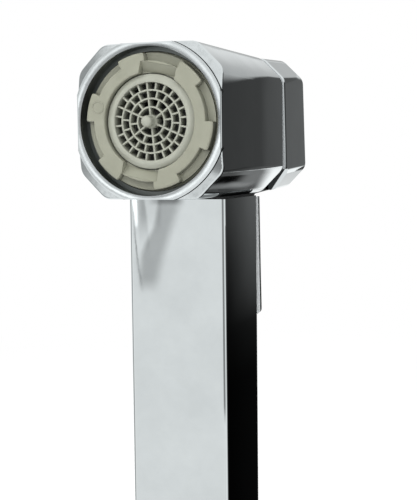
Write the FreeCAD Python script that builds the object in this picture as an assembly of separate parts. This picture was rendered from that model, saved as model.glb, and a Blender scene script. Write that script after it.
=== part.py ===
import FreeCAD, Part
import math
import os

# Square bidet hand shower with a trigger lever behind its head.
# Millimetres. Z runs up the handle, the water leaves towards -Y, X runs to the right.
# The origin is the centre of the hose thread's end face.

Vector = FreeCAD.Vector

# Hose thread and handle
HOSE_THREAD_RADIUS = 10.4775
HOSE_THREAD_LENGTH = 12.5
HOSE_BORE_RADIUS = 5.0
FOOT_THICKNESS = 2.5
HANDLE_SIDE = 22.0
HANDLE_WALL = 1.8
HANDLE_LENGTH = 98.0
HANDLE_EDGE_RADIUS = 0.8
LOCATOR_LINE = 0.5
LOCATOR_INSET = 0.5
LOCATOR_DEPTH = 5.0
FOOT_PLUG_DEPTH = 6.0
SLEEVE_CLEARANCE = 0.1

# Water tube in the handle
TUBE_RADIUS = 6.0
TUBE_WALL = 1.25
TUBE_SOCKET_CLEARANCE = 0.05
TUBE_IN_HEAD = 5.5
TUBE_IN_FOOT = 8.5
TUBE_RING_CORD = 0.7
TUBE_RING_FROM_END = 2.2

# Head casting
CORNER_CUT = 5.4
BODY_LENGTH = 42.7
FRONT_TO_HANDLE = 14.7
LONG_EDGE_RADIUS = 3.0
REAR_EDGE_RADIUS = 0.4
MOUTH_WALL = 0.7
LIP_WIDTH = 1.6
LIP_LENGTH = 2.0
LIP_EDGE_RADIUS = 0.3
CORNER_FALL_DEGREES = 20.0
CORNER_FALL_START = 0.3
FRONT_EDGE_RADIUS = 0.6
INLET_RADIUS = 5.0
REAR_BOSS_LENGTH = 2.1
REAR_BOSS_CLEARANCE = 0.7

# Aerator, M28 outside thread
AERATOR_THREAD_RADIUS = 14.0
THREAD_CLEARANCE = 0.1
MOUTH_STEP = 0.8
MOUTH_DEPTH = 3.2
RING_FACE_DEPTH = 0.8
RING_LENGTH = 9.0
RING_FACE_WALL = 2.2
TOOTH_COUNT = 6
TOOTH_WIDTH_DEGREES = 25.5
FIRST_TOOTH_DEGREES = 46.4
TOOTH_HEIGHT = 1.9
TOOTH_LENGTH = 2.2
TOOTH_ROOT_OVERLAP = 0.8
KEY_POCKET_WIDTH = 7.8
KEY_POCKET_REACH = 1.9
KEY_POCKET_DEPTH = 0.2
KEY_POCKET_SLOPE_DEGREES = 30.0
KEY_POCKET_DEGREES = 78.5
MOULD_MARK_RADIUS = 1.25
MOULD_MARK_DEPTH = 0.15
MOULD_MARK_DEGREES = 164.0
GRILLE_RADIUS = 9.4
GRILLE_GAP = 0.25
GRILLE_RIM_WIDTH = 1.65
GRILLE_RIM_DEPTH = 1.0
GRILLE_BAR_DEPTH = 1.4
GRILLE_BAR_LENGTH = 2.2
GRILLE_BAR_WIDTH = 0.36
GRILLE_HUB_RADIUS = 1.2
GRILLE_FIRST_SPOKE_DEGREES = 36.0
GRILLE_BANDS = 4
CELLS_PER_BAND = 6
GRILLE_FLANGE_WIDTH = 1.8
GRILLE_FLANGE_LENGTH = 1.5
PIN_BASE_RADIUS = 1.4
PIN_TIP_RADIUS = 1.15
PIN_LENGTH = 2.8
PIN_TIP_CHAMFER = 0.6
PIN_CONE_LENGTH = 0.8
DIFFUSER_THICKNESS = 1.8
DIFFUSER_HOLE_RADIUS = 0.6
DIFFUSER_HOLES = 12
DIFFUSER_INNER_ROW_RADIUS = 3.9
DIFFUSER_OUTER_ROW_RADIUS = 7.3
SCREEN_THICKNESS = 0.4
SCREEN_RISE = 1.4
SCREEN_RIM_WIDTH = 1.0
STACK_GAP = 0.05
WASHER_THICKNESS = 1.5
WASHER_WIDTH = 3.1

# Valve in the head
VALVE_BORE_RADIUS = 7.5
SLEEVE_LENGTH = 17.4
SLEEVE_GALLERY_RADIUS = 6.0
SLEEVE_GALLERY_LENGTH = 7.6
SLEEVE_CHAMBER_RADIUS = 4.9
SLEEVE_PORTS = 6
SLEEVE_PORT_RADIUS = 1.4
SLEEVE_RING_CORD = 0.9
SLEEVE_RING_FROM_END = 2.4
FIT_CLEARANCE = 0.05
FACE_CLEARANCE = 0.05
OUTLET_RADIUS = 6.6
SEAT_WALL = 2.4
SEAT_BORE_RADIUS = 3.6
SEAT_RING_WIDTH = 0.7
SEAT_RING_HEIGHT = 0.4
GLAND_WALL = 4.2
PISTON_LENGTH = 3.6
STEM_RADIUS = 2.0
STEM_RING_CORD = 0.55
STEM_FLANGE_RADIUS = 2.8
STEM_FLANGE_LENGTH = 1.0
STUD_RADIUS = 1.5
STUD_END = 0.4
DISC_OVERLAP = 1.0
DISC_THICKNESS = 1.5
DISC_NUT_THICKNESS = 2.0
DISC_NUT_FLATS = 5.5
GLAND_NUT_STEP = 0.5
GLAND_NUT_FLOOR = 3.0
GLAND_NUT_BORE_CLEARANCE = 0.05
GLAND_NUT_POCKET_RADIUS = 5.3
GLAND_NUT_SLOT_WIDTH = 2.0
GLAND_NUT_SLOT_DEPTH = 1.6

# Return spring and button
SPRING_LENGTH = 7.3
SPRING_WIRE_RADIUS = 0.4
SPRING_MEAN_RADIUS = 4.3
SPRING_TURNS = 4.5
BUTTON_RADIUS = 5.0
BUTTON_THICKNESS = 1.5
BUTTON_DOME = 0.8
BUTTON_TIP_RADIUS = 1.6
BUTTON_SPIGOT_LENGTH = 1.8
BUTTON_SPIGOT_CLEARANCE = 0.2

# Trigger lever and its hinge
OPEN_DEGREES = 2.5
HINGE_BEHIND_BODY = 5.0
HINGE_EDGE_MARGIN = 1.5
HINGE_PIN_RADIUS = 1.25
HINGE_RUNNING_CLEARANCE = 0.05
PIN_PRESS_CLEARANCE = 0.01
PIN_RECESS = 0.4
PIN_SKIN = 2.3
EAR_RADIUS = 2.3
EAR_THICKNESS = 2.4
EAR_FROM_NUT = 0.6
EAR_SIDE_GAP = 0.2
LEVER_BOSS_RADIUS = 2.6
CAP_LENGTH = 19.2
CAP_WALL = 2.0
CAP_FRONT_GAP = 0.9
CAP_FRONT_LEAN_DEGREES = 1.5
CAP_REAR_LEAN_DEGREES = 3.4
CAP_CORNER_SETBACK = 2.3
CAP_CORNER_CUT = 4.9
CAP_LONG_EDGE_RADIUS = 2.5
CAP_EDGE_RADIUS = 0.9
STRIP_THICKNESS = 1.8
STRIP_SIDE_INSET = 0.15
STRIP_REACH = 27.7
STRIP_PRESS_GAP = 0.1
STRIP_CORNER_RADIUS = 1.2
STRIP_END_RADIUS = 0.7
NECK_THICKNESS = 2.0
NECK_LAND = 0.7
NECK_CLEARANCE = 0.4
NECK_FILLET_RADIUS = 2.4
PAD_RADIUS = 3.6
PAD_GAP = 0.25
RIB_THICKNESS = 1.6

# Worked out from the sizes above
HANDLE_HALF = HANDLE_SIDE / 2
HANDLE_CAVITY_HALF = HANDLE_HALF - HANDLE_WALL
FOOT_TOP = HOSE_THREAD_LENGTH + FOOT_THICKNESS
HANDLE_TOP = FOOT_TOP + HANDLE_LENGTH
HEAD_BOTTOM = HANDLE_TOP + LOCATOR_LINE
MOUTH_RADIUS = AERATOR_THREAD_RADIUS + MOUTH_STEP
LIP_RADIUS = MOUTH_RADIUS + LIP_WIDTH
HEAD_HALF = MOUTH_RADIUS + MOUTH_WALL
HEAD_AXIS_Z = HEAD_BOTTOM + HEAD_HALF
FLAT_HALF = HEAD_HALF - CORNER_CUT
HANDLE_DEPTH = FRONT_TO_HANDLE + HANDLE_HALF
HEAD_FRONT_Y = -HANDLE_DEPTH
TUBE_BOTTOM = FOOT_TOP - TUBE_IN_FOOT
TUBE_TOP = HEAD_BOTTOM + TUBE_IN_HEAD
TUBE_SOCKET_RADIUS = TUBE_RADIUS + TUBE_SOCKET_CLEARANCE
TUBE_BORE_RADIUS = TUBE_RADIUS - TUBE_WALL

RING_REAR = RING_FACE_DEPTH + RING_LENGTH
RING_BORE_RADIUS = GRILLE_RADIUS + GRILLE_GAP
RING_RADIUS = AERATOR_THREAD_RADIUS - THREAD_CLEARANCE
TOOTH_ROOT_RADIUS = RING_RADIUS - TOOTH_HEIGHT
RING_SHOULDER = RING_FACE_DEPTH + RING_FACE_WALL
GRILLE_FLANGE_RADIUS = GRILLE_RADIUS + GRILLE_FLANGE_WIDTH
RING_CAVITY_RADIUS = GRILLE_FLANGE_RADIUS + THREAD_CLEARANCE
GRILLE_FLANGE_FRONT = RING_SHOULDER + STACK_GAP
GRILLE_REAR = GRILLE_FLANGE_FRONT + GRILLE_FLANGE_LENGTH
DIFFUSER_FRONT = GRILLE_REAR + STACK_GAP
DIFFUSER_REAR = DIFFUSER_FRONT + DIFFUSER_THICKNESS
SCREEN_FRONT = DIFFUSER_REAR + STACK_GAP
WASHER_FRONT = RING_REAR + STACK_GAP
SHOULDER_DEPTH = WASHER_FRONT + WASHER_THICKNESS
WASHER_INNER_RADIUS = AERATOR_THREAD_RADIUS - THREAD_CLEARANCE - WASHER_WIDTH

SLEEVE_FRONT = HANDLE_DEPTH - SLEEVE_LENGTH / 2
SLEEVE_REAR = HANDLE_DEPTH + SLEEVE_LENGTH / 2
SEAT_DEPTH = SLEEVE_FRONT - SEAT_RING_HEIGHT
SEAT_RING_RADIUS = SEAT_BORE_RADIUS + SEAT_RING_WIDTH
DISC_RADIUS = SEAT_RING_RADIUS + DISC_OVERLAP
DISC_FRONT = SEAT_DEPTH - DISC_THICKNESS
SLEEVE_RADIUS = VALVE_BORE_RADIUS - FIT_CLEARANCE
SLEEVE_GROOVE_RADIUS = SLEEVE_RADIUS - 2 * SLEEVE_RING_CORD
SLEEVE_RING_MEAN_RADIUS = VALVE_BORE_RADIUS - FIT_CLEARANCE - SLEEVE_RING_CORD
CHAMBER_FRONT = SLEEVE_FRONT + SEAT_WALL
CHAMBER_REAR = SLEEVE_REAR - GLAND_WALL
PISTON_REAR = SLEEVE_REAR - FACE_CLEARANCE
PISTON_FRONT = PISTON_REAR - PISTON_LENGTH
PISTON_RADIUS = SEAT_BORE_RADIUS - FIT_CLEARANCE
PISTON_GROOVE_RADIUS = PISTON_RADIUS - 2 * STEM_RING_CORD
STEM_RING_DEPTH = PISTON_REAR - PISTON_LENGTH / 2
GLAND_NUT_RADIUS = VALVE_BORE_RADIUS + GLAND_NUT_STEP
SPRING_SEAT = SLEEVE_REAR + GLAND_NUT_FLOOR
BUTTON_SEAT = SPRING_SEAT + SPRING_LENGTH
BUTTON_REAR = BUTTON_SEAT + BUTTON_THICKNESS
BUTTON_TIP = BUTTON_REAR + BUTTON_DOME
BUTTON_SPIGOT_RADIUS = SPRING_MEAN_RADIUS - SPRING_WIRE_RADIUS - BUTTON_SPIGOT_CLEARANCE

HINGE_DEPTH = BODY_LENGTH + HINGE_BEHIND_BODY
HINGE_HEIGHT = FLAT_HALF - HINGE_EDGE_MARGIN
VALVE_STROKE = HINGE_HEIGHT * math.sin(math.radians(OPEN_DEGREES))
EAR_INNER_X = GLAND_NUT_RADIUS + EAR_FROM_NUT
EAR_OUTER_X = EAR_INNER_X + EAR_THICKNESS
NECK_HALF_WIDTH = FLAT_HALF - NECK_LAND - NECK_CLEARANCE
STRIP_HALF_WIDTH = HANDLE_HALF - STRIP_SIDE_INSET
STRIP_FRONT = HANDLE_DEPTH + HANDLE_HALF + STRIP_PRESS_GAP
STRIP_REAR = STRIP_FRONT + STRIP_THICKNESS
STRIP_BOTTOM = -HEAD_HALF - STRIP_REACH
PAD_FRONT = BUTTON_TIP - VALVE_STROKE + PAD_GAP
OVERSHOOT = 1.0
SAME_PLACE = 0.01
SAME_DIRECTION_DEGREES = 2.5


def on_head(x, depth, height):
    """Place of a point given from the centre of the head's front face."""
    return Vector(x, HEAD_FRONT_Y + depth, HEAD_AXIS_Z + height)


def face_through(corners):
    """Flat face with straight sides through the corners."""
    return Part.Face(Part.makePolygon(corners + corners[:1]))


def turned_on_head(profile, sweep=360.0, start=0.0):
    """Solid turned about the head's axis from (depth, radius) points."""
    face = face_through([on_head(radius, depth, 0) for depth, radius in profile])
    axis = Vector(0, -1, 0)
    if start:
        face.rotate(on_head(0, 0, 0), axis, start)
    return face.revolve(on_head(0, 0, 0), axis, sweep)


def turned_on_handle(profile):
    """Solid turned about the handle's axis from (height, radius) points."""
    face = face_through([Vector(radius, 0, height) for height, radius in profile])
    return face.revolve(Vector(0, 0, 0), Vector(0, 0, 1), 360)


def head_rod(radius, front, rear, x=0.0, height=0.0):
    """Round rod along the head's axis."""
    return Part.makeCylinder(radius, rear - front, on_head(x, front, height), Vector(0, 1, 0))


def cross_rod(radius, left, right, depth, height):
    """Round rod across the head."""
    return Part.makeCylinder(radius, right - left, on_head(left, depth, height), Vector(1, 0, 0))


def head_ring(mean_radius, cord, depth):
    """O-ring about the head's axis."""
    return Part.makeTorus(mean_radius, cord, on_head(0, depth, 0), Vector(0, 1, 0))


def side_plate(points, left, right):
    """Plate with a side-view outline of (depth, height) points."""
    face = face_through([on_head(left, depth, height) for depth, height in points])
    return face.extrude(Vector(right - left, 0, 0))


def octagon_block(half, cut, front, rear):
    """Square block with its four long corners cut off."""
    flat = half - cut
    corners = [(half, -flat), (half, flat), (flat, half), (-flat, half),
               (-half, flat), (-half, -flat), (-flat, -half), (flat, -half)]
    face = face_through([on_head(x, front, z) for x, z in corners])
    return face.extrude(Vector(0, rear - front, 0))


def square_block(half, low, high):
    """Square block about the handle's axis."""
    return Part.makeBox(2 * half, 2 * half, high - low, Vector(-half, -half, low))


def runs_along(edge, direction):
    """True for a straight edge that runs in the given direction."""
    if not isinstance(edge.Curve, Part.Line):
        return False
    along = abs(edge.Curve.Direction.dot(direction))
    return along > math.cos(math.radians(SAME_DIRECTION_DEGREES))


def rounded(shape, radius, wanted):
    """Shape with the wanted edges rounded."""
    return shape.makeFillet(radius, [edge for edge in shape.Edges if wanted(edge)])


def lies_at_depth(edge, depth):
    """True for an edge in the plane at the given depth behind the head's front."""
    box = edge.BoundBox
    place = HEAD_FRONT_Y + depth
    return abs(box.YMin - place) < SAME_PLACE and abs(box.YMax - place) < SAME_PLACE


def head_block():
    """Outside of the head: cut corners, rounded edges and the falling front."""
    block = octagon_block(HEAD_HALF, CORNER_CUT, 0, BODY_LENGTH)
    block = rounded(block, LONG_EDGE_RADIUS, lambda edge: runs_along(edge, Vector(0, 1, 0)))
    block = rounded(block, REAR_EDGE_RADIUS, lambda edge: lies_at_depth(edge, BODY_LENGTH))
    reach = 2 * HEAD_HALF
    start = HEAD_HALF - CORNER_FALL_START
    fall = (reach - start) * math.tan(math.radians(CORNER_FALL_DEGREES))
    front = turned_on_head([
        (0, 0),
        (0, start),
        (fall, reach),
        (BODY_LENGTH + OVERSHOOT, reach),
        (BODY_LENGTH + OVERSHOOT, 0),
    ])
    block = block.common(front)
    return rounded(block, FRONT_EDGE_RADIUS, is_front_outline_edge)


def is_front_outline_edge(edge):
    """True for the edges where the falling front meets the sides of the head."""
    box = edge.BoundBox
    in_front = box.YMax < HEAD_FRONT_Y + CORNER_CUT
    middle = edge.valueAt((edge.FirstParameter + edge.LastParameter) / 2)
    radius = middle.distanceToPoint(on_head(0, middle.y - HEAD_FRONT_Y, 0))
    return in_front and radius > HEAD_HALF - CORNER_FALL_START / 2


def mouth_lip():
    """Turned lip round the mouth, flush with the flats of the head."""
    plate = Part.makeBox(
        2 * HEAD_HALF,
        LIP_LENGTH,
        2 * HEAD_HALF,
        on_head(-HEAD_HALF, 0, -HEAD_HALF),
    )
    plate = rounded(plate, LIP_EDGE_RADIUS, lambda edge: lies_at_depth(edge, 0))
    return plate.common(head_rod(LIP_RADIUS, 0, LIP_LENGTH))


def rear_boss():
    """Smaller block behind the head that closes the gap under the cap."""
    inset = CAP_WALL + REAR_BOSS_CLEARANCE
    return octagon_block(
        HEAD_HALF - inset,
        CORNER_CUT - inset * (2 - math.sqrt(2)),
        BODY_LENGTH - OVERSHOOT,
        BODY_LENGTH + REAR_BOSS_LENGTH,
    )


def head_waterways():
    """Everything bored out of the head along its axis, and the inlet from the handle."""
    thread_bore = AERATOR_THREAD_RADIUS
    boss_end = BODY_LENGTH + REAR_BOSS_LENGTH + OVERSHOOT
    cone_end = SHOULDER_DEPTH + WASHER_INNER_RADIUS - OUTLET_RADIUS
    axial = turned_on_head([
        (-OVERSHOOT, 0),
        (-OVERSHOOT, MOUTH_RADIUS),
        (MOUTH_DEPTH, MOUTH_RADIUS),
        (MOUTH_DEPTH, thread_bore),
        (SHOULDER_DEPTH, thread_bore),
        (SHOULDER_DEPTH, WASHER_INNER_RADIUS),
        (cone_end, OUTLET_RADIUS),
        (SLEEVE_FRONT, OUTLET_RADIUS),
        (SLEEVE_FRONT, VALVE_BORE_RADIUS),
        (SLEEVE_REAR, VALVE_BORE_RADIUS),
        (SLEEVE_REAR, GLAND_NUT_RADIUS + FIT_CLEARANCE),
        (boss_end, GLAND_NUT_RADIUS + FIT_CLEARANCE),
        (boss_end, 0),
    ])
    inlet = turned_on_handle([
        (HEAD_BOTTOM - OVERSHOOT, 0),
        (HEAD_BOTTOM - OVERSHOOT, TUBE_SOCKET_RADIUS),
        (TUBE_TOP + FACE_CLEARANCE, TUBE_SOCKET_RADIUS),
        (TUBE_TOP + FACE_CLEARANCE, INLET_RADIUS),
        (HEAD_AXIS_Z - SLEEVE_GALLERY_RADIUS, INLET_RADIUS),
        (HEAD_AXIS_Z - SLEEVE_GALLERY_RADIUS, 0),
    ])
    return axial.fuse(inlet)


def hinge_ear(inner_x):
    """Ear on the back of the head that holds the hinge pin."""
    barrel = cross_rod(EAR_RADIUS, inner_x, inner_x + EAR_THICKNESS, HINGE_DEPTH, HINGE_HEIGHT)
    root = side_plate([
        (BODY_LENGTH - OVERSHOOT, HINGE_HEIGHT - EAR_RADIUS),
        (HINGE_DEPTH, HINGE_HEIGHT - EAR_RADIUS),
        (HINGE_DEPTH, HINGE_HEIGHT + EAR_RADIUS),
        (BODY_LENGTH - OVERSHOOT, HINGE_HEIGHT + EAR_RADIUS),
    ], inner_x, inner_x + EAR_THICKNESS)
    return root.fuse(barrel)


def neck_relief():
    """Notch under the back of the head in which the lever's neck moves."""
    half = NECK_HALF_WIDTH + NECK_CLEARANCE
    ceiling = -HEAD_HALF + NECK_THICKNESS + NECK_CLEARANCE
    boss_end = BODY_LENGTH + REAR_BOSS_LENGTH + OVERSHOOT
    return side_plate([
        (STRIP_FRONT - NECK_CLEARANCE, -HEAD_HALF - OVERSHOOT),
        (boss_end, -HEAD_HALF - OVERSHOOT),
        (boss_end, ceiling),
        (STRIP_FRONT - NECK_CLEARANCE, ceiling),
    ], -half, half)


def head_body():
    """Head casting."""
    head = head_block()
    head = head.fuse([mouth_lip(), rear_boss(), hinge_ear(EAR_INNER_X), hinge_ear(-EAR_OUTER_X)])
    pin_hole = cross_rod(
        HINGE_PIN_RADIUS + HINGE_RUNNING_CLEARANCE,
        -HEAD_HALF,
        HEAD_HALF,
        HINGE_DEPTH,
        HINGE_HEIGHT,
    )
    return head.cut([head_waterways(), neck_relief(), pin_hole]).removeSplitter()


def key_pocket(angle):
    """Pocket in the face of the aerator ring for its key, deeper towards the bore."""
    reach = RING_BORE_RADIUS + KEY_POCKET_REACH
    half = KEY_POCKET_WIDTH / 2
    floor = RING_FACE_DEPTH + KEY_POCKET_DEPTH
    slope = math.tan(math.radians(KEY_POCKET_SLOPE_DEGREES))
    start = RING_BORE_RADIUS / 2
    face = face_through([
        on_head(start, RING_FACE_DEPTH - OVERSHOOT, -half),
        on_head(reach, RING_FACE_DEPTH - OVERSHOOT, -half),
        on_head(reach, floor, -half),
        on_head(start, floor + (reach - start) * slope, -half),
    ])
    pocket = face.extrude(Vector(0, 0, KEY_POCKET_WIDTH))
    pocket.rotate(on_head(0, 0, 0), Vector(0, -1, 0), angle)
    return pocket


def ring_tooth(angle):
    """One tooth of the aerator ring."""
    inner = TOOTH_ROOT_RADIUS - TOOTH_ROOT_OVERLAP
    return turned_on_head([
        (RING_FACE_DEPTH, inner),
        (RING_FACE_DEPTH, RING_RADIUS),
        (RING_FACE_DEPTH + TOOTH_LENGTH, RING_RADIUS),
        (RING_FACE_DEPTH + TOOTH_LENGTH, inner),
    ], TOOTH_WIDTH_DEGREES, angle - TOOTH_WIDTH_DEGREES / 2)


def mould_mark():
    """Plain round mark at the root of one tooth."""
    radius = TOOTH_ROOT_RADIUS - TOOTH_ROOT_OVERLAP
    angle = math.radians(MOULD_MARK_DEGREES)
    return head_rod(
        MOULD_MARK_RADIUS,
        RING_FACE_DEPTH - OVERSHOOT,
        RING_FACE_DEPTH + MOULD_MARK_DEPTH,
        radius * math.cos(angle),
        radius * math.sin(angle),
    )


def aerator_key_ring():
    """Moulded ring that screws the aerator into the mouth."""
    ring = turned_on_head([
        (RING_FACE_DEPTH, RING_BORE_RADIUS),
        (RING_FACE_DEPTH, TOOTH_ROOT_RADIUS),
        (RING_FACE_DEPTH + TOOTH_LENGTH, TOOTH_ROOT_RADIUS),
        (RING_FACE_DEPTH + TOOTH_LENGTH, RING_RADIUS),
        (RING_REAR, RING_RADIUS),
        (RING_REAR, RING_CAVITY_RADIUS),
        (RING_SHOULDER, RING_CAVITY_RADIUS),
        (RING_SHOULDER, RING_BORE_RADIUS),
    ])
    step = 360 / TOOTH_COUNT
    teeth = [ring_tooth(FIRST_TOOTH_DEGREES + step * index) for index in range(TOOTH_COUNT)]
    pockets = [key_pocket(KEY_POCKET_DEGREES), key_pocket(KEY_POCKET_DEGREES + 180)]
    return ring.fuse(teeth).cut(pockets + [mould_mark()]).removeSplitter()


def grille_cell(inner, outer, start, step):
    """One opening between two rings and two spokes of the grille."""
    low = inner + GRILLE_BAR_WIDTH / 2
    high = outer - GRILLE_BAR_WIDTH / 2
    bar_angle = math.degrees(GRILLE_BAR_WIDTH / ((low + high) / 2))
    return turned_on_head([
        (GRILLE_BAR_DEPTH - OVERSHOOT, low),
        (GRILLE_BAR_DEPTH - OVERSHOOT, high),
        (GRILLE_REAR + OVERSHOOT, high),
        (GRILLE_REAR + OVERSHOOT, low),
    ], step - bar_angle, start + bar_angle / 2)


def grille_cells():
    """All openings of the grille, with more cells in each wider band."""
    rim = GRILLE_RADIUS - GRILLE_RIM_WIDTH + GRILLE_BAR_WIDTH / 2
    band = (rim - GRILLE_HUB_RADIUS) / GRILLE_BANDS
    cells = []
    for number in range(GRILLE_BANDS):
        count = CELLS_PER_BAND * (number + 1)
        step = 360 / count
        inner = GRILLE_HUB_RADIUS + band * number
        for index in range(count):
            start = GRILLE_FIRST_SPOKE_DEGREES + step * index
            cells.append(grille_cell(inner, inner + band, start, step))
    return cells


def aerator_grille():
    """Insert with the grid of openings, its flange and the pin in the middle."""
    tip = GRILLE_BAR_DEPTH - PIN_LENGTH
    rim_inner = GRILLE_RADIUS - GRILLE_RIM_WIDTH
    bars_rear = GRILLE_BAR_DEPTH + GRILLE_BAR_LENGTH
    plate = turned_on_head([
        (GRILLE_BAR_DEPTH, 0),
        (GRILLE_BAR_DEPTH, rim_inner),
        (GRILLE_RIM_DEPTH, rim_inner),
        (GRILLE_RIM_DEPTH, GRILLE_RADIUS),
        (GRILLE_FLANGE_FRONT, GRILLE_RADIUS),
        (GRILLE_FLANGE_FRONT, GRILLE_FLANGE_RADIUS),
        (GRILLE_REAR, GRILLE_FLANGE_RADIUS),
        (GRILLE_REAR, rim_inner),
        (bars_rear, rim_inner),
        (bars_rear, 0),
    ])
    pin = turned_on_head([
        (tip, 0),
        (tip, PIN_TIP_RADIUS - PIN_TIP_CHAMFER),
        (tip + PIN_TIP_CHAMFER, PIN_TIP_RADIUS),
        (GRILLE_BAR_DEPTH - PIN_CONE_LENGTH, PIN_TIP_RADIUS),
        (GRILLE_BAR_DEPTH, PIN_BASE_RADIUS),
        (bars_rear, PIN_BASE_RADIUS),
        (bars_rear, 0),
    ])
    return plate.cut(grille_cells()).fuse(pin).removeSplitter()


def aerator_diffuser():
    """Plate of fine holes behind the grille."""
    plate = head_rod(GRILLE_FLANGE_RADIUS, DIFFUSER_FRONT, DIFFUSER_REAR)
    holes = []
    for radius in (DIFFUSER_INNER_ROW_RADIUS, DIFFUSER_OUTER_ROW_RADIUS):
        for index in range(DIFFUSER_HOLES):
            angle = 2 * math.pi * index / DIFFUSER_HOLES
            holes.append(head_rod(
                DIFFUSER_HOLE_RADIUS,
                DIFFUSER_FRONT - OVERSHOOT,
                DIFFUSER_REAR + OVERSHOOT,
                radius * math.cos(angle),
                radius * math.sin(angle),
            ))
    return plate.cut(holes)


def aerator_filter_screen():
    """Domed screen that catches grit, with its rim."""
    rim_inner = GRILLE_FLANGE_RADIUS - SCREEN_RIM_WIDTH
    crown = SCREEN_FRONT + SCREEN_THICKNESS + SCREEN_RISE
    return turned_on_head([
        (crown - SCREEN_THICKNESS, 0),
        (SCREEN_FRONT, rim_inner),
        (SCREEN_FRONT, GRILLE_FLANGE_RADIUS),
        (RING_REAR, GRILLE_FLANGE_RADIUS),
        (RING_REAR, rim_inner),
        (SCREEN_FRONT + SCREEN_THICKNESS, rim_inner),
        (crown, 0),
    ])


def aerator_washer():
    """Flat washer between the aerator and the shoulder in the head."""
    return turned_on_head([
        (WASHER_FRONT, WASHER_INNER_RADIUS),
        (WASHER_FRONT, RING_RADIUS),
        (SHOULDER_DEPTH, RING_RADIUS),
        (SHOULDER_DEPTH, WASHER_INNER_RADIUS),
    ])


def sleeve_groove(centre):
    """Groove for an o-ring in the outside of the valve sleeve."""
    half = SLEEVE_RING_CORD + FIT_CLEARANCE
    return turned_on_head([
        (centre - half, SLEEVE_GROOVE_RADIUS - FIT_CLEARANCE),
        (centre - half, SLEEVE_RADIUS + OVERSHOOT),
        (centre + half, SLEEVE_RADIUS + OVERSHOOT),
        (centre + half, SLEEVE_GROOVE_RADIUS - FIT_CLEARANCE),
    ])


def sleeve_ring_depths():
    """Places of the two o-rings along the valve sleeve."""
    return [SLEEVE_FRONT + SLEEVE_RING_FROM_END, SLEEVE_REAR - SLEEVE_RING_FROM_END]


def valve_sleeve():
    """Ported sleeve with the valve seat in front and the gland behind."""
    half_gallery = SLEEVE_GALLERY_LENGTH / 2
    body = turned_on_head([
        (SEAT_DEPTH, SEAT_BORE_RADIUS),
        (SEAT_DEPTH, SEAT_RING_RADIUS),
        (SLEEVE_FRONT, SEAT_RING_RADIUS),
        (SLEEVE_FRONT, SLEEVE_RADIUS),
        (HANDLE_DEPTH - half_gallery, SLEEVE_RADIUS),
        (HANDLE_DEPTH - half_gallery, SLEEVE_GALLERY_RADIUS),
        (HANDLE_DEPTH + half_gallery, SLEEVE_GALLERY_RADIUS),
        (HANDLE_DEPTH + half_gallery, SLEEVE_RADIUS),
        (SLEEVE_REAR, SLEEVE_RADIUS),
        (SLEEVE_REAR, SEAT_BORE_RADIUS),
        (CHAMBER_REAR, SEAT_BORE_RADIUS),
        (CHAMBER_REAR, SLEEVE_CHAMBER_RADIUS),
        (CHAMBER_FRONT, SLEEVE_CHAMBER_RADIUS),
        (CHAMBER_FRONT, SEAT_BORE_RADIUS),
    ])
    port = Part.makeCylinder(
        SLEEVE_PORT_RADIUS,
        SLEEVE_RADIUS,
        on_head(0, HANDLE_DEPTH, 0),
        Vector(0, 0, 1),
    )
    ports = []
    for index in range(SLEEVE_PORTS):
        copy = port.copy()
        copy.rotate(on_head(0, 0, 0), Vector(0, 1, 0), 360 / SLEEVE_PORTS * index)
        ports.append(copy)
    grooves = [sleeve_groove(depth) for depth in sleeve_ring_depths()]
    return body.cut(ports + grooves)


def valve_sleeve_o_rings():
    """O-rings that seal the sleeve in the head."""
    rings = [
        head_ring(SLEEVE_RING_MEAN_RADIUS, SLEEVE_RING_CORD, depth)
        for depth in sleeve_ring_depths()
    ]
    return Part.makeCompound(rings)


def valve_stem():
    """Stem from the seal disc through the gland to the button."""
    half = STEM_RING_CORD + FIT_CLEARANCE
    stud_tip = DISC_FRONT - DISC_NUT_THICKNESS - STUD_END
    return turned_on_head([
        (stud_tip, 0),
        (stud_tip, STUD_RADIUS),
        (SEAT_DEPTH, STUD_RADIUS),
        (SEAT_DEPTH, STEM_FLANGE_RADIUS),
        (SEAT_DEPTH + STEM_FLANGE_LENGTH, STEM_FLANGE_RADIUS),
        (SEAT_DEPTH + STEM_FLANGE_LENGTH, STEM_RADIUS),
        (PISTON_FRONT, STEM_RADIUS),
        (PISTON_FRONT, PISTON_RADIUS),
        (STEM_RING_DEPTH - half, PISTON_RADIUS),
        (STEM_RING_DEPTH - half, PISTON_GROOVE_RADIUS - FIT_CLEARANCE),
        (STEM_RING_DEPTH + half, PISTON_GROOVE_RADIUS - FIT_CLEARANCE),
        (STEM_RING_DEPTH + half, PISTON_RADIUS),
        (PISTON_REAR, PISTON_RADIUS),
        (PISTON_REAR, STEM_RADIUS),
        (BUTTON_REAR, STEM_RADIUS),
        (BUTTON_REAR, 0),
    ])


def valve_stem_o_ring():
    """O-ring that seals the stem in the gland."""
    return head_ring(PISTON_RADIUS - STEM_RING_CORD, STEM_RING_CORD, STEM_RING_DEPTH)


def valve_seal_disc():
    """Rubber disc that closes on the seat from in front."""
    return turned_on_head([
        (DISC_FRONT, STUD_RADIUS),
        (DISC_FRONT, DISC_RADIUS),
        (SEAT_DEPTH, DISC_RADIUS),
        (SEAT_DEPTH, STUD_RADIUS),
    ])


def seal_disc_nut():
    """Hexagon nut that holds the seal disc on the stem."""
    corner = DISC_NUT_FLATS / math.sqrt(3)
    rear = DISC_FRONT
    front = DISC_FRONT - DISC_NUT_THICKNESS
    corners = []
    for index in range(6):
        angle = math.radians(60 * index)
        corners.append(on_head(corner * math.cos(angle), front, corner * math.sin(angle)))
    nut = face_through(corners).extrude(Vector(0, rear - front, 0))
    return nut.cut(head_rod(STUD_RADIUS, front - OVERSHOOT, rear + OVERSHOOT))


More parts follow.
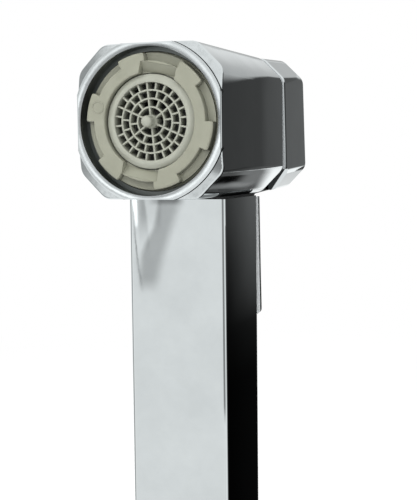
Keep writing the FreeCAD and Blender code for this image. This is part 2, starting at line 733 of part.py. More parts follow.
def gland_nut():
    """Nut that closes the back of the head and carries the spring."""
    bore = STEM_RADIUS + GLAND_NUT_BORE_CLEARANCE
    nut = turned_on_head([
        (SLEEVE_REAR, bore),
        (SLEEVE_REAR, GLAND_NUT_RADIUS),
        (BODY_LENGTH, GLAND_NUT_RADIUS),
        (BODY_LENGTH, GLAND_NUT_POCKET_RADIUS),
        (SPRING_SEAT, GLAND_NUT_POCKET_RADIUS),
        (SPRING_SEAT, bore),
    ])
    slot = Part.makeBox(
        2 * GLAND_NUT_RADIUS + 2 * OVERSHOOT,
        GLAND_NUT_SLOT_DEPTH + OVERSHOOT,
        GLAND_NUT_SLOT_WIDTH,
        on_head(
            -GLAND_NUT_RADIUS - OVERSHOOT,
            BODY_LENGTH - GLAND_NUT_SLOT_DEPTH,
            -GLAND_NUT_SLOT_WIDTH / 2,
        ),
    )
    return nut.cut(slot)


def spring_point(angle, length):
    """Point of the spring's centre line at a turning angle."""
    share = angle / (2 * math.pi * SPRING_TURNS)
    depth = SPRING_SEAT + SPRING_WIRE_RADIUS + FACE_CLEARANCE + length * share
    return on_head(SPRING_MEAN_RADIUS * math.cos(angle), depth, SPRING_MEAN_RADIUS * math.sin(angle))


def spring_direction(angle, length):
    """Direction of the spring's wire at a turning angle."""
    rise = length / (2 * math.pi * SPRING_TURNS)
    direction = Vector(
        -SPRING_MEAN_RADIUS * math.sin(angle),
        rise,
        SPRING_MEAN_RADIUS * math.cos(angle),
    )
    return direction.normalize()


def arc_from(start, direction, end):
    """Arc that leaves start in the given direction and ends at end."""
    chord = end - start
    along = chord.dot(direction) / chord.Length
    across = direction - chord * (along / chord.Length)
    half_turn = math.atan2(across.Length, along)
    sagitta = chord.Length / 2 * math.tan(half_turn / 2)
    middle = start + chord * 0.5 + across.normalize() * sagitta
    return Part.Arc(start, middle, end).toShape()


def biarc(start, leaving, end, arriving):
    """Two arcs that meet smoothly between two points with given directions."""
    chord = end - start
    both = leaving + arriving
    square = 2 * (1 - leaving.dot(arriving))
    reach = chord.dot(both)
    handle = (-reach + math.sqrt(reach * reach + square * chord.dot(chord))) / square
    joint = (start + leaving * handle + end - arriving * handle) * 0.5
    turn_in = (joint - start - leaving * handle).normalize()
    return [arc_from(start, leaving, joint), arc_from(joint, turn_in, end)]


def least_spring_gap(length):
    """Least free distance between neighbouring turns, measured on points."""
    steps = 360
    points = [
        spring_point(2 * math.pi * SPRING_TURNS * index / steps, length)
        for index in range(steps + 1)
    ]
    turn = int(steps / SPRING_TURNS)
    least = SPRING_LENGTH
    for index, first in enumerate(points):
        for second in points[index + turn // 2:]:
            least = min(least, first.distanceToPoint(second))
    return least - 2 * SPRING_WIRE_RADIUS


def return_spring():
    """Coil spring that pushes the stem back and closes the valve."""
    length = SPRING_LENGTH - 2 * (SPRING_WIRE_RADIUS + FACE_CLEARANCE)
    quarters = int(round(SPRING_TURNS * 4))
    edges = []
    for index in range(quarters):
        first = 2 * math.pi * SPRING_TURNS * index / quarters
        last = 2 * math.pi * SPRING_TURNS * (index + 1) / quarters
        edges += biarc(
            spring_point(first, length),
            spring_direction(first, length),
            spring_point(last, length),
            spring_direction(last, length),
        )
    centre_line = Part.Wire(edges)
    section = Part.Wire(Part.makeCircle(
        SPRING_WIRE_RADIUS,
        spring_point(0, length),
        spring_direction(0, length),
    ))
    pipe = Part.BRepOffsetAPI.MakePipeShell(centre_line)
    pipe.add(section)
    pipe.build()
    pipe.makeSolid()
    print("spring: least gap between turns", round(least_spring_gap(length), 3), "mm")
    return pipe.shape()


def thrust_button():
    """Button on the end of the stem that the lever pushes."""
    return turned_on_head([
        (BUTTON_SEAT - BUTTON_SPIGOT_LENGTH, STEM_RADIUS),
        (BUTTON_SEAT - BUTTON_SPIGOT_LENGTH, BUTTON_SPIGOT_RADIUS),
        (BUTTON_SEAT, BUTTON_SPIGOT_RADIUS),
        (BUTTON_SEAT, BUTTON_RADIUS),
        (BUTTON_REAR, BUTTON_RADIUS),
        (BUTTON_TIP, BUTTON_TIP_RADIUS),
        (BUTTON_TIP, 0),
        (BUTTON_REAR, 0),
        (BUTTON_REAR, STEM_RADIUS),
    ])


def lean(degrees, height):
    """How far a leaning face moves over a height."""
    return height * math.tan(math.radians(degrees))


def cap_outline(front_shift, rear_shift):
    """Side view of the cap between its leaning front and rear faces."""
    top = HEAD_HALF + OVERSHOOT
    front = BODY_LENGTH + CAP_FRONT_GAP + lean(CAP_FRONT_LEAN_DEGREES, HEAD_HALF) + front_shift
    rear = BODY_LENGTH + CAP_LENGTH + rear_shift
    return [
        (front - lean(CAP_FRONT_LEAN_DEGREES, top), top),
        (rear - lean(CAP_REAR_LEAN_DEGREES, top), top),
        (rear + lean(CAP_REAR_LEAN_DEGREES, top), -top),
        (front + lean(CAP_FRONT_LEAN_DEGREES, top), -top),
    ]


def cap_block(half, cut, front_shift, rear_shift):
    """Octagonal block between the cap's leaning faces."""
    block = octagon_block(half, cut, 0, BODY_LENGTH + 2 * CAP_LENGTH)
    sides = side_plate(cap_outline(front_shift, rear_shift), -half - OVERSHOOT, half + OVERSHOOT)
    return block.common(sides)


def lower_corner_cut():
    """Wedge that sets back the lower front corners of the cap."""
    start = BODY_LENGTH + CAP_FRONT_GAP + CAP_CORNER_SETBACK
    reach = CORNER_CUT + 2 * OVERSHOOT
    return side_plate([
        (start - reach, -FLAT_HALF),
        (start, -FLAT_HALF),
        (start + reach, -FLAT_HALF - reach),
        (start - reach, -FLAT_HALF - reach),
    ], -HEAD_HALF - OVERSHOOT, HEAD_HALF + OVERSHOOT)


def is_not_along_head(edge):
    """True for the edges round the cap's front and rear faces."""
    return not runs_along(edge, Vector(0, 1, 0))


def cap_shell():
    """Hollow cap of the lever behind the head."""
    outside = cap_block(HEAD_HALF, CAP_CORNER_CUT, 0, 0)
    outside = rounded(outside, CAP_LONG_EDGE_RADIUS, lambda edge: runs_along(edge, Vector(0, 1, 0)))
    outside = rounded(outside, CAP_EDGE_RADIUS, is_not_along_head)
    inner_cut = CAP_CORNER_CUT - CAP_WALL * (2 - math.sqrt(2))
    cavity = cap_block(HEAD_HALF - CAP_WALL, inner_cut, -2 * CAP_WALL, -CAP_WALL)
    return outside.cut([cavity, lower_corner_cut()])


def lever_strip():
    """Neck under the head and strip down the back of the handle."""
    shoulder = -HEAD_HALF - NECK_CLEARANCE
    neck_bottom = -HEAD_HALF - NECK_FILLET_RADIUS - OVERSHOOT
    neck_rear = BODY_LENGTH + CAP_FRONT_GAP + CAP_CORNER_SETBACK + CORNER_CUT
    neck = side_plate([
        (STRIP_FRONT, neck_bottom),
        (STRIP_FRONT, -HEAD_HALF + NECK_THICKNESS),
        (neck_rear, -HEAD_HALF + NECK_THICKNESS),
        (neck_rear, -HEAD_HALF),
        (STRIP_REAR, -HEAD_HALF),
        (STRIP_REAR, neck_bottom),
    ], -NECK_HALF_WIDTH, NECK_HALF_WIDTH)
    inner_corner = on_head(0, STRIP_REAR, -HEAD_HALF)
    neck = rounded(
        neck,
        NECK_FILLET_RADIUS,
        lambda edge: edge.CenterOfMass.distanceToPoint(inner_corner) < SAME_PLACE,
    )
    strip = side_plate([
        (STRIP_FRONT, STRIP_BOTTOM),
        (STRIP_FRONT, shoulder),
        (STRIP_REAR, shoulder),
        (STRIP_REAR, STRIP_BOTTOM),
    ], -STRIP_HALF_WIDTH, STRIP_HALF_WIDTH)
    end_z = on_head(0, 0, STRIP_BOTTOM).z
    strip = rounded(
        strip,
        STRIP_CORNER_RADIUS,
        lambda edge: runs_along(edge, Vector(0, 1, 0)) and edge.CenterOfMass.z < end_z + SAME_PLACE,
    )
    rear_y = on_head(0, STRIP_REAR, 0).y
    strip = rounded(
        strip,
        STRIP_END_RADIUS,
        lambda edge: edge.BoundBox.YMin > rear_y - SAME_PLACE,
    )
    return neck.fuse(strip)


def hinge_boss(left, right):
    """Boss inside the cap that holds the hinge pin."""
    return cross_rod(LEVER_BOSS_RADIUS, left, right, HINGE_DEPTH, HINGE_HEIGHT)


def thrust_pad():
    """Post inside the cap that pushes the button, with its rib."""
    rear = BODY_LENGTH + CAP_LENGTH - CAP_WALL / 2
    post = head_rod(PAD_RADIUS, PAD_FRONT, rear)
    rib = side_plate([
        (HINGE_DEPTH + LEVER_BOSS_RADIUS, 0),
        (rear, 0),
        (rear, -HEAD_HALF + CAP_WALL / 2),
        (HINGE_DEPTH + 2 * LEVER_BOSS_RADIUS, -HEAD_HALF + CAP_WALL / 2),
    ], -RIB_THICKNESS / 2, RIB_THICKNESS / 2)
    return post.fuse(rib)


def opened(shape):
    """Shape turned about the hinge pin to where the lever rests."""
    turned = shape.copy()
    turned.rotate(on_head(0, HINGE_DEPTH, HINGE_HEIGHT), Vector(1, 0, 0), OPEN_DEGREES)
    return turned


def pin_left_end():
    """Place of the hinge pin's visible end across the head."""
    return -HEAD_HALF + PIN_RECESS


def pin_right_end():
    """Place of the hinge pin's hidden end across the head."""
    return HEAD_HALF - PIN_SKIN


def trigger_lever():
    """Lever casting: cap, neck, strip, hinge bosses and thrust pad."""
    boss_start = EAR_OUTER_X + EAR_SIDE_GAP
    boss_end = HEAD_HALF - CAP_WALL / 2
    lever = cap_shell().fuse([
        lever_strip(),
        hinge_boss(boss_start, boss_end),
        hinge_boss(-boss_end, -boss_start),
        thrust_pad(),
    ])
    pin_hole = cross_rod(
        HINGE_PIN_RADIUS + PIN_PRESS_CLEARANCE,
        -HEAD_HALF - OVERSHOOT,
        pin_right_end() + PIN_RECESS,
        HINGE_DEPTH,
        HINGE_HEIGHT,
    )
    return opened(lever.cut(pin_hole).removeSplitter())


def hinge_pin():
    """Pin pressed into the lever, running in the ears of the head."""
    return cross_rod(HINGE_PIN_RADIUS, pin_left_end(), pin_right_end(), HINGE_DEPTH, HINGE_HEIGHT)


def handle_sleeve():
    """Square outer tube of the handle."""
    outside = square_block(HANDLE_HALF, FOOT_TOP, HANDLE_TOP)
    outside = rounded(outside, HANDLE_EDGE_RADIUS, lambda edge: runs_along(edge, Vector(0, 0, 1)))
    inside = square_block(HANDLE_CAVITY_HALF, FOOT_TOP - OVERSHOOT, HANDLE_TOP + OVERSHOOT)
    return outside.cut(inside)


def sleeve_locator():
    """Moulded seal between handle and head that centres the sleeve on the tube."""
    line = square_block(HANDLE_HALF - LOCATOR_INSET, HANDLE_TOP, HEAD_BOTTOM)
    plug = square_block(HANDLE_CAVITY_HALF - SLEEVE_CLEARANCE, HANDLE_TOP - LOCATOR_DEPTH, HANDLE_TOP)
    hole = Part.makeCylinder(
        TUBE_SOCKET_RADIUS,
        LOCATOR_DEPTH + LOCATOR_LINE + 2 * OVERSHOOT,
        Vector(0, 0, HANDLE_TOP - LOCATOR_DEPTH - OVERSHOOT),
    )
    return line.fuse(plug).cut(hole).removeSplitter()


def tube_ring_heights():
    """Heights of the two o-rings on the water tube."""
    return [TUBE_BOTTOM + TUBE_RING_FROM_END, TUBE_TOP - TUBE_RING_FROM_END]


def tube_groove(height):
    """Groove for an o-ring in the outside of the water tube."""
    half = TUBE_RING_CORD + FIT_CLEARANCE
    floor = TUBE_RADIUS - 2 * TUBE_RING_CORD + FIT_CLEARANCE
    return turned_on_handle([
        (height - half, floor),
        (height - half, TUBE_RADIUS + OVERSHOOT),
        (height + half, TUBE_RADIUS + OVERSHOOT),
        (height + half, floor),
    ])


def water_tube():
    """Tube that carries the water from the foot to the head and holds them together."""
    reach = TUBE_RING_CORD + 2 * FIT_CLEARANCE
    bore_at_ring = TUBE_BORE_RADIUS - reach
    profile = [(TUBE_BOTTOM, bore_at_ring), (TUBE_BOTTOM, TUBE_RADIUS)]
    profile += [(TUBE_TOP, TUBE_RADIUS), (TUBE_TOP, bore_at_ring)]
    neck = 2 * TUBE_RING_FROM_END
    profile += [(TUBE_TOP - neck, bore_at_ring), (TUBE_TOP - neck - reach, TUBE_BORE_RADIUS)]
    profile += [(TUBE_BOTTOM + neck + reach, TUBE_BORE_RADIUS), (TUBE_BOTTOM + neck, bore_at_ring)]
    tube = turned_on_handle(profile)
    return tube.cut([tube_groove(height) for height in tube_ring_heights()])


def water_tube_o_rings():
    """O-rings that seal the water tube in the foot and in the head."""
    mean_radius = TUBE_RADIUS - TUBE_RING_CORD + FIT_CLEARANCE / 2
    rings = [
        Part.makeTorus(mean_radius, TUBE_RING_CORD - FIT_CLEARANCE / 2, Vector(0, 0, height))
        for height in tube_ring_heights()
    ]
    return Part.makeCompound(rings)


def hose_nipple():
    """Foot of the handle with the hose thread under it."""
    foot = square_block(HANDLE_HALF, HOSE_THREAD_LENGTH, FOOT_TOP)
    foot = rounded(foot, HANDLE_EDGE_RADIUS, lambda edge: runs_along(edge, Vector(0, 0, 1)))
    plug = square_block(HANDLE_CAVITY_HALF - SLEEVE_CLEARANCE, FOOT_TOP, FOOT_TOP + FOOT_PLUG_DEPTH)
    thread = Part.makeCylinder(HOSE_THREAD_RADIUS, HOSE_THREAD_LENGTH)
    bore = turned_on_handle([
        (-OVERSHOOT, 0),
        (-OVERSHOOT, HOSE_BORE_RADIUS),
        (TUBE_BOTTOM - FACE_CLEARANCE, HOSE_BORE_RADIUS),
        (TUBE_BOTTOM - FACE_CLEARANCE, TUBE_SOCKET_RADIUS),
        (FOOT_TOP + FOOT_PLUG_DEPTH + OVERSHOOT, TUBE_SOCKET_RADIUS),
        (FOOT_TOP + FOOT_PLUG_DEPTH + OVERSHOOT, 0),
    ])
    return foot.fuse([plug, thread]).cut(bore).removeSplitter()


def pieces():
    """Every piece of the hand shower by name."""
    return {
        "head_body": head_body(),
        "aerator_key_ring": aerator_key_ring(),
        "aerator_grille": aerator_grille(),
        "aerator_diffuser": aerator_diffuser(),
        "aerator_filter_screen": aerator_filter_screen(),
        "aerator_washer": aerator_washer(),
        "valve_sleeve": valve_sleeve(),
        "valve_sleeve_o_rings": valve_sleeve_o_rings(),
        "valve_stem": valve_stem(),
        "valve_stem_o_ring": valve_stem_o_ring(),
        "valve_seal_disc": valve_seal_disc(),
        "seal_disc_nut": seal_disc_nut(),
        "gland_nut": gland_nut(),
        "return_spring": return_spring(),
        "thrust_button": thrust_button(),
        "trigger_lever": trigger_lever(),
        "hinge_pin": hinge_pin(),
        "handle_sleeve": handle_sleeve(),
        "sleeve_locator": sleeve_locator(),
        "water_tube": water_tube(),
        "water_tube_o_rings": water_tube_o_rings(),
        "hose_nipple": hose_nipple(),
    }


os.makedirs("parts", exist_ok=True)
for name, shape in pieces().items():
    shape.exportStep("parts/" + name + ".step")
    print(name, "solids", len(shape.Solids), "valid", shape.isValid(), "volume", round(shape.Volume, 1))
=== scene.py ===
# %% [markdown]
# # A square bidet hand shower in chrome
# This lesson dresses a hand shower of the kind that hangs beside a toilet: a square chromed handle, a head
# with cut corners and a round mouth, a plastic aerator in the mouth, and a trigger lever behind the head.
# The shapes come from a CAD model that is loaded first and never moved. Blender adds the finishes, the fine
# moulded forms that CAD left plain, the studio and the camera.

# %% Load the CAD frame
import math

import bmesh
import bpy
from mathutils import Matrix, Vector


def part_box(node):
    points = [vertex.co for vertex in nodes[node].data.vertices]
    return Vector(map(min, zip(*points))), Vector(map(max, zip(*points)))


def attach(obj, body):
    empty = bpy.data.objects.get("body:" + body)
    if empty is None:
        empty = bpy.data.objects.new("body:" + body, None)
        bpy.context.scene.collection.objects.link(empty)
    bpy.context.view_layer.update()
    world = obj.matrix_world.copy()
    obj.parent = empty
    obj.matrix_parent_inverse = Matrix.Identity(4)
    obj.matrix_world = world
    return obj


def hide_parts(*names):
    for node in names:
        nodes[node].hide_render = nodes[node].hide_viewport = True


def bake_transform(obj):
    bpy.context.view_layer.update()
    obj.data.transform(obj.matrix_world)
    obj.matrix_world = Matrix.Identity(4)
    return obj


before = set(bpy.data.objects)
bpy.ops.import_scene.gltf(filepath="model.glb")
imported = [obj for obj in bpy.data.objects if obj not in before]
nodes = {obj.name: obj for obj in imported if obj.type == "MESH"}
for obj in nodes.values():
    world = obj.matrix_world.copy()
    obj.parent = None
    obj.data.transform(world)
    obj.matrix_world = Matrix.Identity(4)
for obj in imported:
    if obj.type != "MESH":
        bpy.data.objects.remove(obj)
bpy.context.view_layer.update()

# %% [markdown]
# ## Sizes
# The drawing of the hand shower is in millimetres and Blender works in metres, so one small function turns
# one into the other. Places are measured on the boxes of the CAD pieces. The sizes that no box shows, such
# as the cut of a corner, are those of the drawing.

# %% Sizes that the finishes and the finer shapes refer to
def mm(length):
    """Metres from millimetres."""
    return length / 1000


def box_mm(node):
    """Lower and upper corner of a CAD node's box, in mm."""
    return [[round(side * 1000, 3) for side in corner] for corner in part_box(node)]


head_low, head_high = box_mm("head_body")
handle_high = box_mm("handle_sleeve")[1]
HEAD_AXIS_HEIGHT = (head_low[2] + head_high[2]) / 2
HEAD_FRONT = head_low[1]
HEAD_HALF_WIDTH = head_high[0]
HANDLE_HALF, _, HANDLE_TOP = handle_high
MOUTH_RADIUS, LIP_RADIUS = 14.8, 16.4
HEAD_LENGTH, CAP_LENGTH = 42.7, 19.2
CHAMFER, LONG_EDGE_RADIUS, CAP_CORNER_CUT = 5.4, 3.0, 4.9
print("in mm: head axis", HEAD_AXIS_HEIGHT, "its front", HEAD_FRONT, "top of the handle", HANDLE_TOP)

# %% [markdown]
# ## Camera
# The photograph was taken from the front and 20 degrees to the right, from above the middle of the handle
# and about 24 cm away. So near an object perspective is strong: the handle seems to grow towards the bottom.
# The camera therefore gets the real distance and a lens that follows from it, instead of a long lens from
# far away.

# %% Camera
CAMERA_PLACE = (0.084994, -0.224412, 0.122252)
CAMERA_YAW, CAMERA_PITCH, CAMERA_ROLL = 20.04, -5.01, -0.65
PHOTO_LONG_SIDE = 500
FOCAL_LENGTH_IN_PIXELS = 1084.4
SENSOR_MM = 36.0


def camera_axes(yaw, pitch, roll):
    """Right, up and backward directions of a camera from its angles in degrees."""
    yaw, pitch, roll = (math.radians(angle) for angle in (yaw, pitch, roll))
    forward = Vector((-math.sin(yaw) * math.cos(pitch), math.cos(yaw) * math.cos(pitch), math.sin(pitch)))
    level = forward.cross(Vector((0, 0, 1))).normalized()
    lift = level.cross(forward)
    right = level * math.cos(roll) + lift * math.sin(roll)
    up = lift * math.cos(roll) - level * math.sin(roll)
    return right, up, -forward


def add_object(name, data):
    """Object that puts a mesh, a lamp or a camera in the scene."""
    thing = bpy.data.objects.new(name, data)
    bpy.context.scene.collection.objects.link(thing)
    return thing


camera_data = bpy.data.cameras.new("photo_camera")
camera_data.sensor_width = SENSOR_MM
camera_data.lens = FOCAL_LENGTH_IN_PIXELS / PHOTO_LONG_SIDE * SENSOR_MM
camera_data.clip_start = 0.01
camera_data.clip_end = 20.0
camera = add_object("photo_camera", camera_data)
camera_turn = Matrix(camera_axes(CAMERA_YAW, CAMERA_PITCH, CAMERA_ROLL)).transposed().to_4x4()
camera.matrix_world = Matrix.Translation(CAMERA_PLACE) @ camera_turn
bpy.context.scene.camera = camera
print("lens in mm:", round(camera_data.lens, 1))

# %% [markdown]
# ## Helpers for node trees
# Materials and Geometry Nodes are both trees of nodes. One small function adds a node, sets it up and links
# it: where a value is a socket it becomes a link, and a whole node stands for its first output in use.
# Colours are written as they would be picked from a photograph, as sRGB hex, and turned to the linear
# numbers that the renderer mixes. A pattern's scale is worked out from the size that it has on the object.

# %% Node, colour and scale helpers
def fill(tree, node, values):
    """Sets a node's inputs, or links them where the value is a socket or a node."""
    for key, value in values.items():
        if isinstance(value, bpy.types.Node):
            value = next(output for output in value.outputs if output.enabled)
        if isinstance(value, bpy.types.NodeSocket):
            tree.links.new(value, node.inputs[key])
        else:
            node.inputs[key].default_value = value


def add_node(tree, kind, values=None, **settings):
    """Adds a node, sets it, and fills its inputs."""
    node = tree.nodes.new(kind)
    for name, setting in settings.items():
        setattr(node, name, setting)
    fill(tree, node, values or {})
    return node


def linear(hex_colour):
    """Linear colour from an sRGB hex string such as "A6A798"."""
    channels = []
    for start in (0, 2, 4):
        value = int(hex_colour[start:start + 2], 16) / 255
        channels.append(value / 12.92 if value <= 0.04045 else ((value + 0.055) / 1.055) ** 2.4)
    return (*channels, 1.0)


def scale_for(size_mm):
    """Texture scale at which a pattern on Object coordinates repeats about every size_mm."""
    return 1000 / size_mm


def new_material(name, fixed=None):
    """Material, its tree, its shader with the fixed inputs set, and the Object coordinates."""
    material = bpy.data.materials.new(name)
    material.use_nodes = True
    tree = material.node_tree
    tree.nodes.clear()
    shader = add_node(tree, "ShaderNodeBsdfPrincipled", fixed)
    add_node(tree, "ShaderNodeOutputMaterial", {"Surface": shader})
    return material, tree, shader, add_node(tree, "ShaderNodeTexCoord").outputs["Object"]


print("middle grey in linear light:", round(linear("808080")[0], 3))

# %% [markdown]
# ## Floor
# A plain white floor carries the hand shower on the end of its hose thread. Near the object it is an
# ordinary matt white that takes the shadow. Further out, what the camera and the chrome see of it turns into
# plain white, so that floor and background meet without a line.

# %% Floor
FLOOR_HALF_SIZE = 6.0
FADE_START, FADE_END = 0.2, 0.5
WHITE = linear("FFFFFF")


def sees_background(tree):
    """1 for rays from the camera, a mirror or glass, and 0 for rays that light a matt surface."""
    path = add_node(tree, "ShaderNodeLightPath").outputs
    seen = path["Is Camera Ray"]
    for other in ("Is Glossy Ray", "Is Transmission Ray"):
        seen = add_node(tree, "ShaderNodeMath", {0: seen, 1: path[other]}, operation="MAXIMUM")
    return seen


def floor_material():
    """Matt white board that fades into plain white away from the object."""
    material, tree, shader, place = new_material("matt_white_board", {
        "Base Color": linear("F6F6F6"), "Roughness": 0.9, "Specular IOR Level": 0.0,
    })
    distance = add_node(tree, "ShaderNodeVectorMath", {0: place}, operation="LENGTH")
    far = add_node(tree, "ShaderNodeMapRange", {
        "Value": distance, "From Min": FADE_START, "From Max": FADE_END,
    })
    share = add_node(tree, "ShaderNodeMath", {0: far, 1: sees_background(tree)}, operation="MULTIPLY")
    white = add_node(tree, "ShaderNodeEmission", {"Color": WHITE})
    both = add_node(tree, "ShaderNodeMixShader", {0: share, 1: shader, 2: white})
    fill(tree, tree.nodes["Material Output"], {"Surface": both})
    return material


floor_mesh = bpy.data.meshes.new("floor")
floor_mesh.from_pydata(
    [(x * FLOOR_HALF_SIZE, y * FLOOR_HALF_SIZE, 0) for x, y in ((-1, -1), (1, -1), (1, 1), (-1, 1))],
    [], [(0, 1, 2, 3)],
)
floor_mesh.materials.append(floor_material())
add_object("floor", floor_mesh)
print("floor fades to white from", FADE_START, "to", FADE_END, "m")

# %% [markdown]
# ## Light
# The photograph has the even light of a white tent: hardly any shadow on the plastic, and chrome that shows
# white nearly everywhere. The world gives much of that light. Large soft lamps, the strongest above the left
# shoulder and the next in front, give the moulded aerator its lit and shaded edges. The lamps themselves
# stay out of the chrome, because in a tent one sees cloth and not lamps.

# %% World and lamps
WORLD_STRENGTH = 0.48
LIGHT_TARGET = Vector((0, 0, 0.1))
LAMPS = {
    "tent_lamp_left": ((-0.5, -0.65, 0.95), 0.6, 8.0),
    "tent_lamp_front": ((0.12, -0.95, 0.45), 0.5, 5.0),
    "tent_lamp_right": ((0.8, -0.45, 0.5), 0.6, 2.5),
    "tent_lamp_back": ((0.1, 0.9, 0.8), 0.7, 4.0),
}


def tent_world():
    """World that lights evenly and is seen as plain white."""
    world = bpy.data.worlds.new("white_tent")
    world.use_nodes = True
    tree = world.node_tree
    tree.nodes.clear()
    light = add_node(tree, "ShaderNodeBackground", {"Color": WHITE, "Strength": WORLD_STRENGTH})
    seen = add_node(tree, "ShaderNodeBackground", {"Color": WHITE})
    both = add_node(tree, "ShaderNodeMixShader", {0: sees_background(tree), 1: light, 2: seen})
    add_node(tree, "ShaderNodeOutputWorld", {"Surface": both})
    return world


def soft_lamp(name, place, size, watts):
    """Large square lamp that points at the object and doesn't show in the chrome."""
    lamp_data = bpy.data.lights.new(name, "AREA")
    lamp_data.shape = "SQUARE"
    lamp_data.size = size
    lamp_data.energy = watts
    lamp = add_object(name, lamp_data)
    lamp.location = place
    lamp.rotation_euler = (LIGHT_TARGET - Vector(place)).to_track_quat("-Z", "Y").to_euler()
    lamp.visible_glossy = False


bpy.context.scene.world = tent_world()
for lamp_name, lamp_settings in LAMPS.items():
    soft_lamp(lamp_name, *lamp_settings)
bpy.context.scene.view_settings.view_transform = "Standard"
print("lamps:", list(LAMPS))

# %% [markdown]
# ## Tools for painting reflections
# In a tent that is white all round, chrome looks like white plastic. A photographer stands black cards,
# called flags, beside it, and the metal shows them as dark faces. Here each flag is a grid of points with a
# brightness at each. It is seen by shiny surfaces alone, so it takes no light from the scene and casts no
# shadow. Three small functions shape the brightness: a smooth step, a window with soft sides, and a line
# through points.

# %% Steps, windows and patches
HIDDEN_FROM = ("camera", "diffuse", "transmission", "volume_scatter", "shadow")
CLOTH_TINT = (0.98, 1.0, 1.0)


def step(low, high, value):
    """0 at low, 1 at high, and a smooth change between."""
    share = min(max((value - low) / (high - low), 0.0), 1.0)
    return share * share * (3 - 2 * share)


def window(low, high, soft, value):
    """1 between low and high, falling smoothly to 0 over soft on both sides."""
    return step(low - soft, low, value) * (1 - step(high, high + soft, value))


def along(points, value):
    """Value read from a line through (place, height) points."""
    for (place, height), (next_place, next_height) in zip(points, points[1:]):
        if value <= next_place:
            share = min(max((value - place) / (next_place - place), 0.0), 1.0)
            return height + (next_height - height) * share
    return points[-1][1]


def evenly(first, last, size):
    """Values from first to last, about size apart."""
    count = max(1, round((last - first) / size))
    return [first + (last - first) * index / count for index in range(count + 1)]


def grid_faces(width, height, round_axis, closed_profile):
    """Faces between the points of a grid that are listed row after row."""
    faces = []
    for row in range(height if closed_profile else height - 1):
        here, below = row * width, (row + 1) % height * width
        for column in range(width if round_axis else width - 1):
            right = (column + 1) % width
            faces.append((here + column, here + right, below + right, below + column))
    return faces


def shade_material():
    """Cloth or card as the chrome sees it: the brightness is stored on the mesh."""
    material = bpy.data.materials.new("tent_cloth_and_flags")
    material.use_nodes = True
    tree = material.node_tree
    tree.nodes.clear()
    stored = add_node(tree, "ShaderNodeAttribute", attribute_name="shade")
    glow = add_node(tree, "ShaderNodeEmission", {"Color": stored})
    add_node(tree, "ShaderNodeOutputMaterial", {"Surface": glow})
    return material


cloth = shade_material()


def shaded_patch(name, columns, rows, point, shade):
    """Grid whose points and brightness follow from a column's and a row's measure."""
    mesh = bpy.data.meshes.new(name)
    places = [(column, row) for row in rows for column in columns]
    faces = grid_faces(len(columns), len(rows), round_axis=False, closed_profile=False)
    mesh.from_pydata([point(*place) for place in places], [], faces)
    stored = mesh.attributes.new("shade", "FLOAT_COLOR", "POINT")
    for index, place in enumerate(places):
        level = shade(*place)
        stored.data[index].color = (*(level * tint for tint in CLOTH_TINT), 1.0)
    mesh.materials.append(cloth)
    patch = add_object(name, mesh)
    for ray in HIDDEN_FROM:
        setattr(patch, "visible_" + ray, False)
    print(name, "has", len(places), "points")


print("window from 2 to 3, read at 1.5:", window(2, 3, 1, 1.5))

# %% [markdown]
# ## Flags on the wall and the floor
# The photograph has one large dark area behind and to the right of the shower, which grows lighter towards
# the left and above, and grey flags that draw the outlines of the left and right edges and tone the corners
# of the front. They are soft patches on a dome and on the floor. Azimuth is 0 behind the object and 90 on
# its right.

# %% Wall and ground
DOME_RADIUS = 1.3
DOME_HEIGHT = 0.125
FLAG_LIFT = 0.0004
GROUND_BLACK = 0.004
SIDE_LEVELS = ((14.0, 0.155), (15.4, 0.135), (17.0, 0.095), (18.5, 0.068), (20.0, 0.048))
SLOPE_LEVELS = ((3.0, 0.3), (12.0, 0.42), (17.0, 0.52), (20.0, 0.66), (26.0, 0.86), (36.0, 1.0))
# Each flag: how much light it takes, and from, to and softness in azimuth and in elevation.
RIGHT_EDGE_FLAGS = (
    (0.7, (143.0, 200.0, 4.0), (-22.0, 7.0, 3.0)),
    (0.7, (-200.0, -166.0, 4.0), (-22.0, 7.0, 3.0)),
)
WALL_FLAGS = RIGHT_EDGE_FLAGS + (
    (0.6, (-118.0, -86.0, 12.0), (-5.0, 40.0, 12.0)),
    (0.12, (-137.0, -123.0, 6.0), (11.0, 22.0, 6.0)),
    (0.05, (164.0, 178.0, 6.0), (15.0, 28.0, 6.0)),
)
GROUND_FLAGS = RIGHT_EDGE_FLAGS + (
    (0.6, (-118.0, -86.0, 12.0), (-35.0, 0.0, 20.0)),
    (0.15, (164.0, 178.0, 6.0), (-38.0, -27.0, 5.0)),
    (0.08, (-134.0, -120.0, 6.0), (-31.0, -23.0, 4.0)),
)


def flagged(shade, flags, azimuth, elevation):
    """Brightness that is left behind the flags."""
    for taken, across, upwards in flags:
        shade *= 1 - taken * window(*across, azimuth) * window(*upwards, elevation)
    return shade


def wall_shade(azimuth, elevation):
    """Brightness of the tent wall."""
    dark = step(-11.0, 12.0, azimuth) * (1 - step(70.0, 110.0, azimuth)) * (1 - step(7.0, 15.0, elevation))
    shade = 1 - dark * (1 - along(SIDE_LEVELS, azimuth))
    sloped = window(-14.0, 60.0, 16.0, azimuth) * step(1.0, 4.0, elevation)
    shade *= 1 - (1 - along(SLOPE_LEVELS, elevation)) * sloped
    return flagged(shade, WALL_FLAGS, azimuth, elevation)


def ground_shade(azimuth, elevation):
    """Brightness of the floor as the chrome sees it."""
    dark = step(-6.0, 6.0, azimuth) * (1 - step(80.0, 120.0, azimuth))
    level = along(SIDE_LEVELS, azimuth) * (1 - step(-2.0, -15.0, elevation)) + GROUND_BLACK
    return flagged(1 - dark * (1 - level), GROUND_FLAGS, azimuth, elevation)


def direction(azimuth, elevation):
    """Unit vector from azimuth and elevation in degrees."""
    azimuth, elevation = math.radians(azimuth), math.radians(elevation)
    return Vector((
        math.sin(azimuth) * math.cos(elevation), math.cos(azimuth) * math.cos(elevation), math.sin(elevation),
    ))


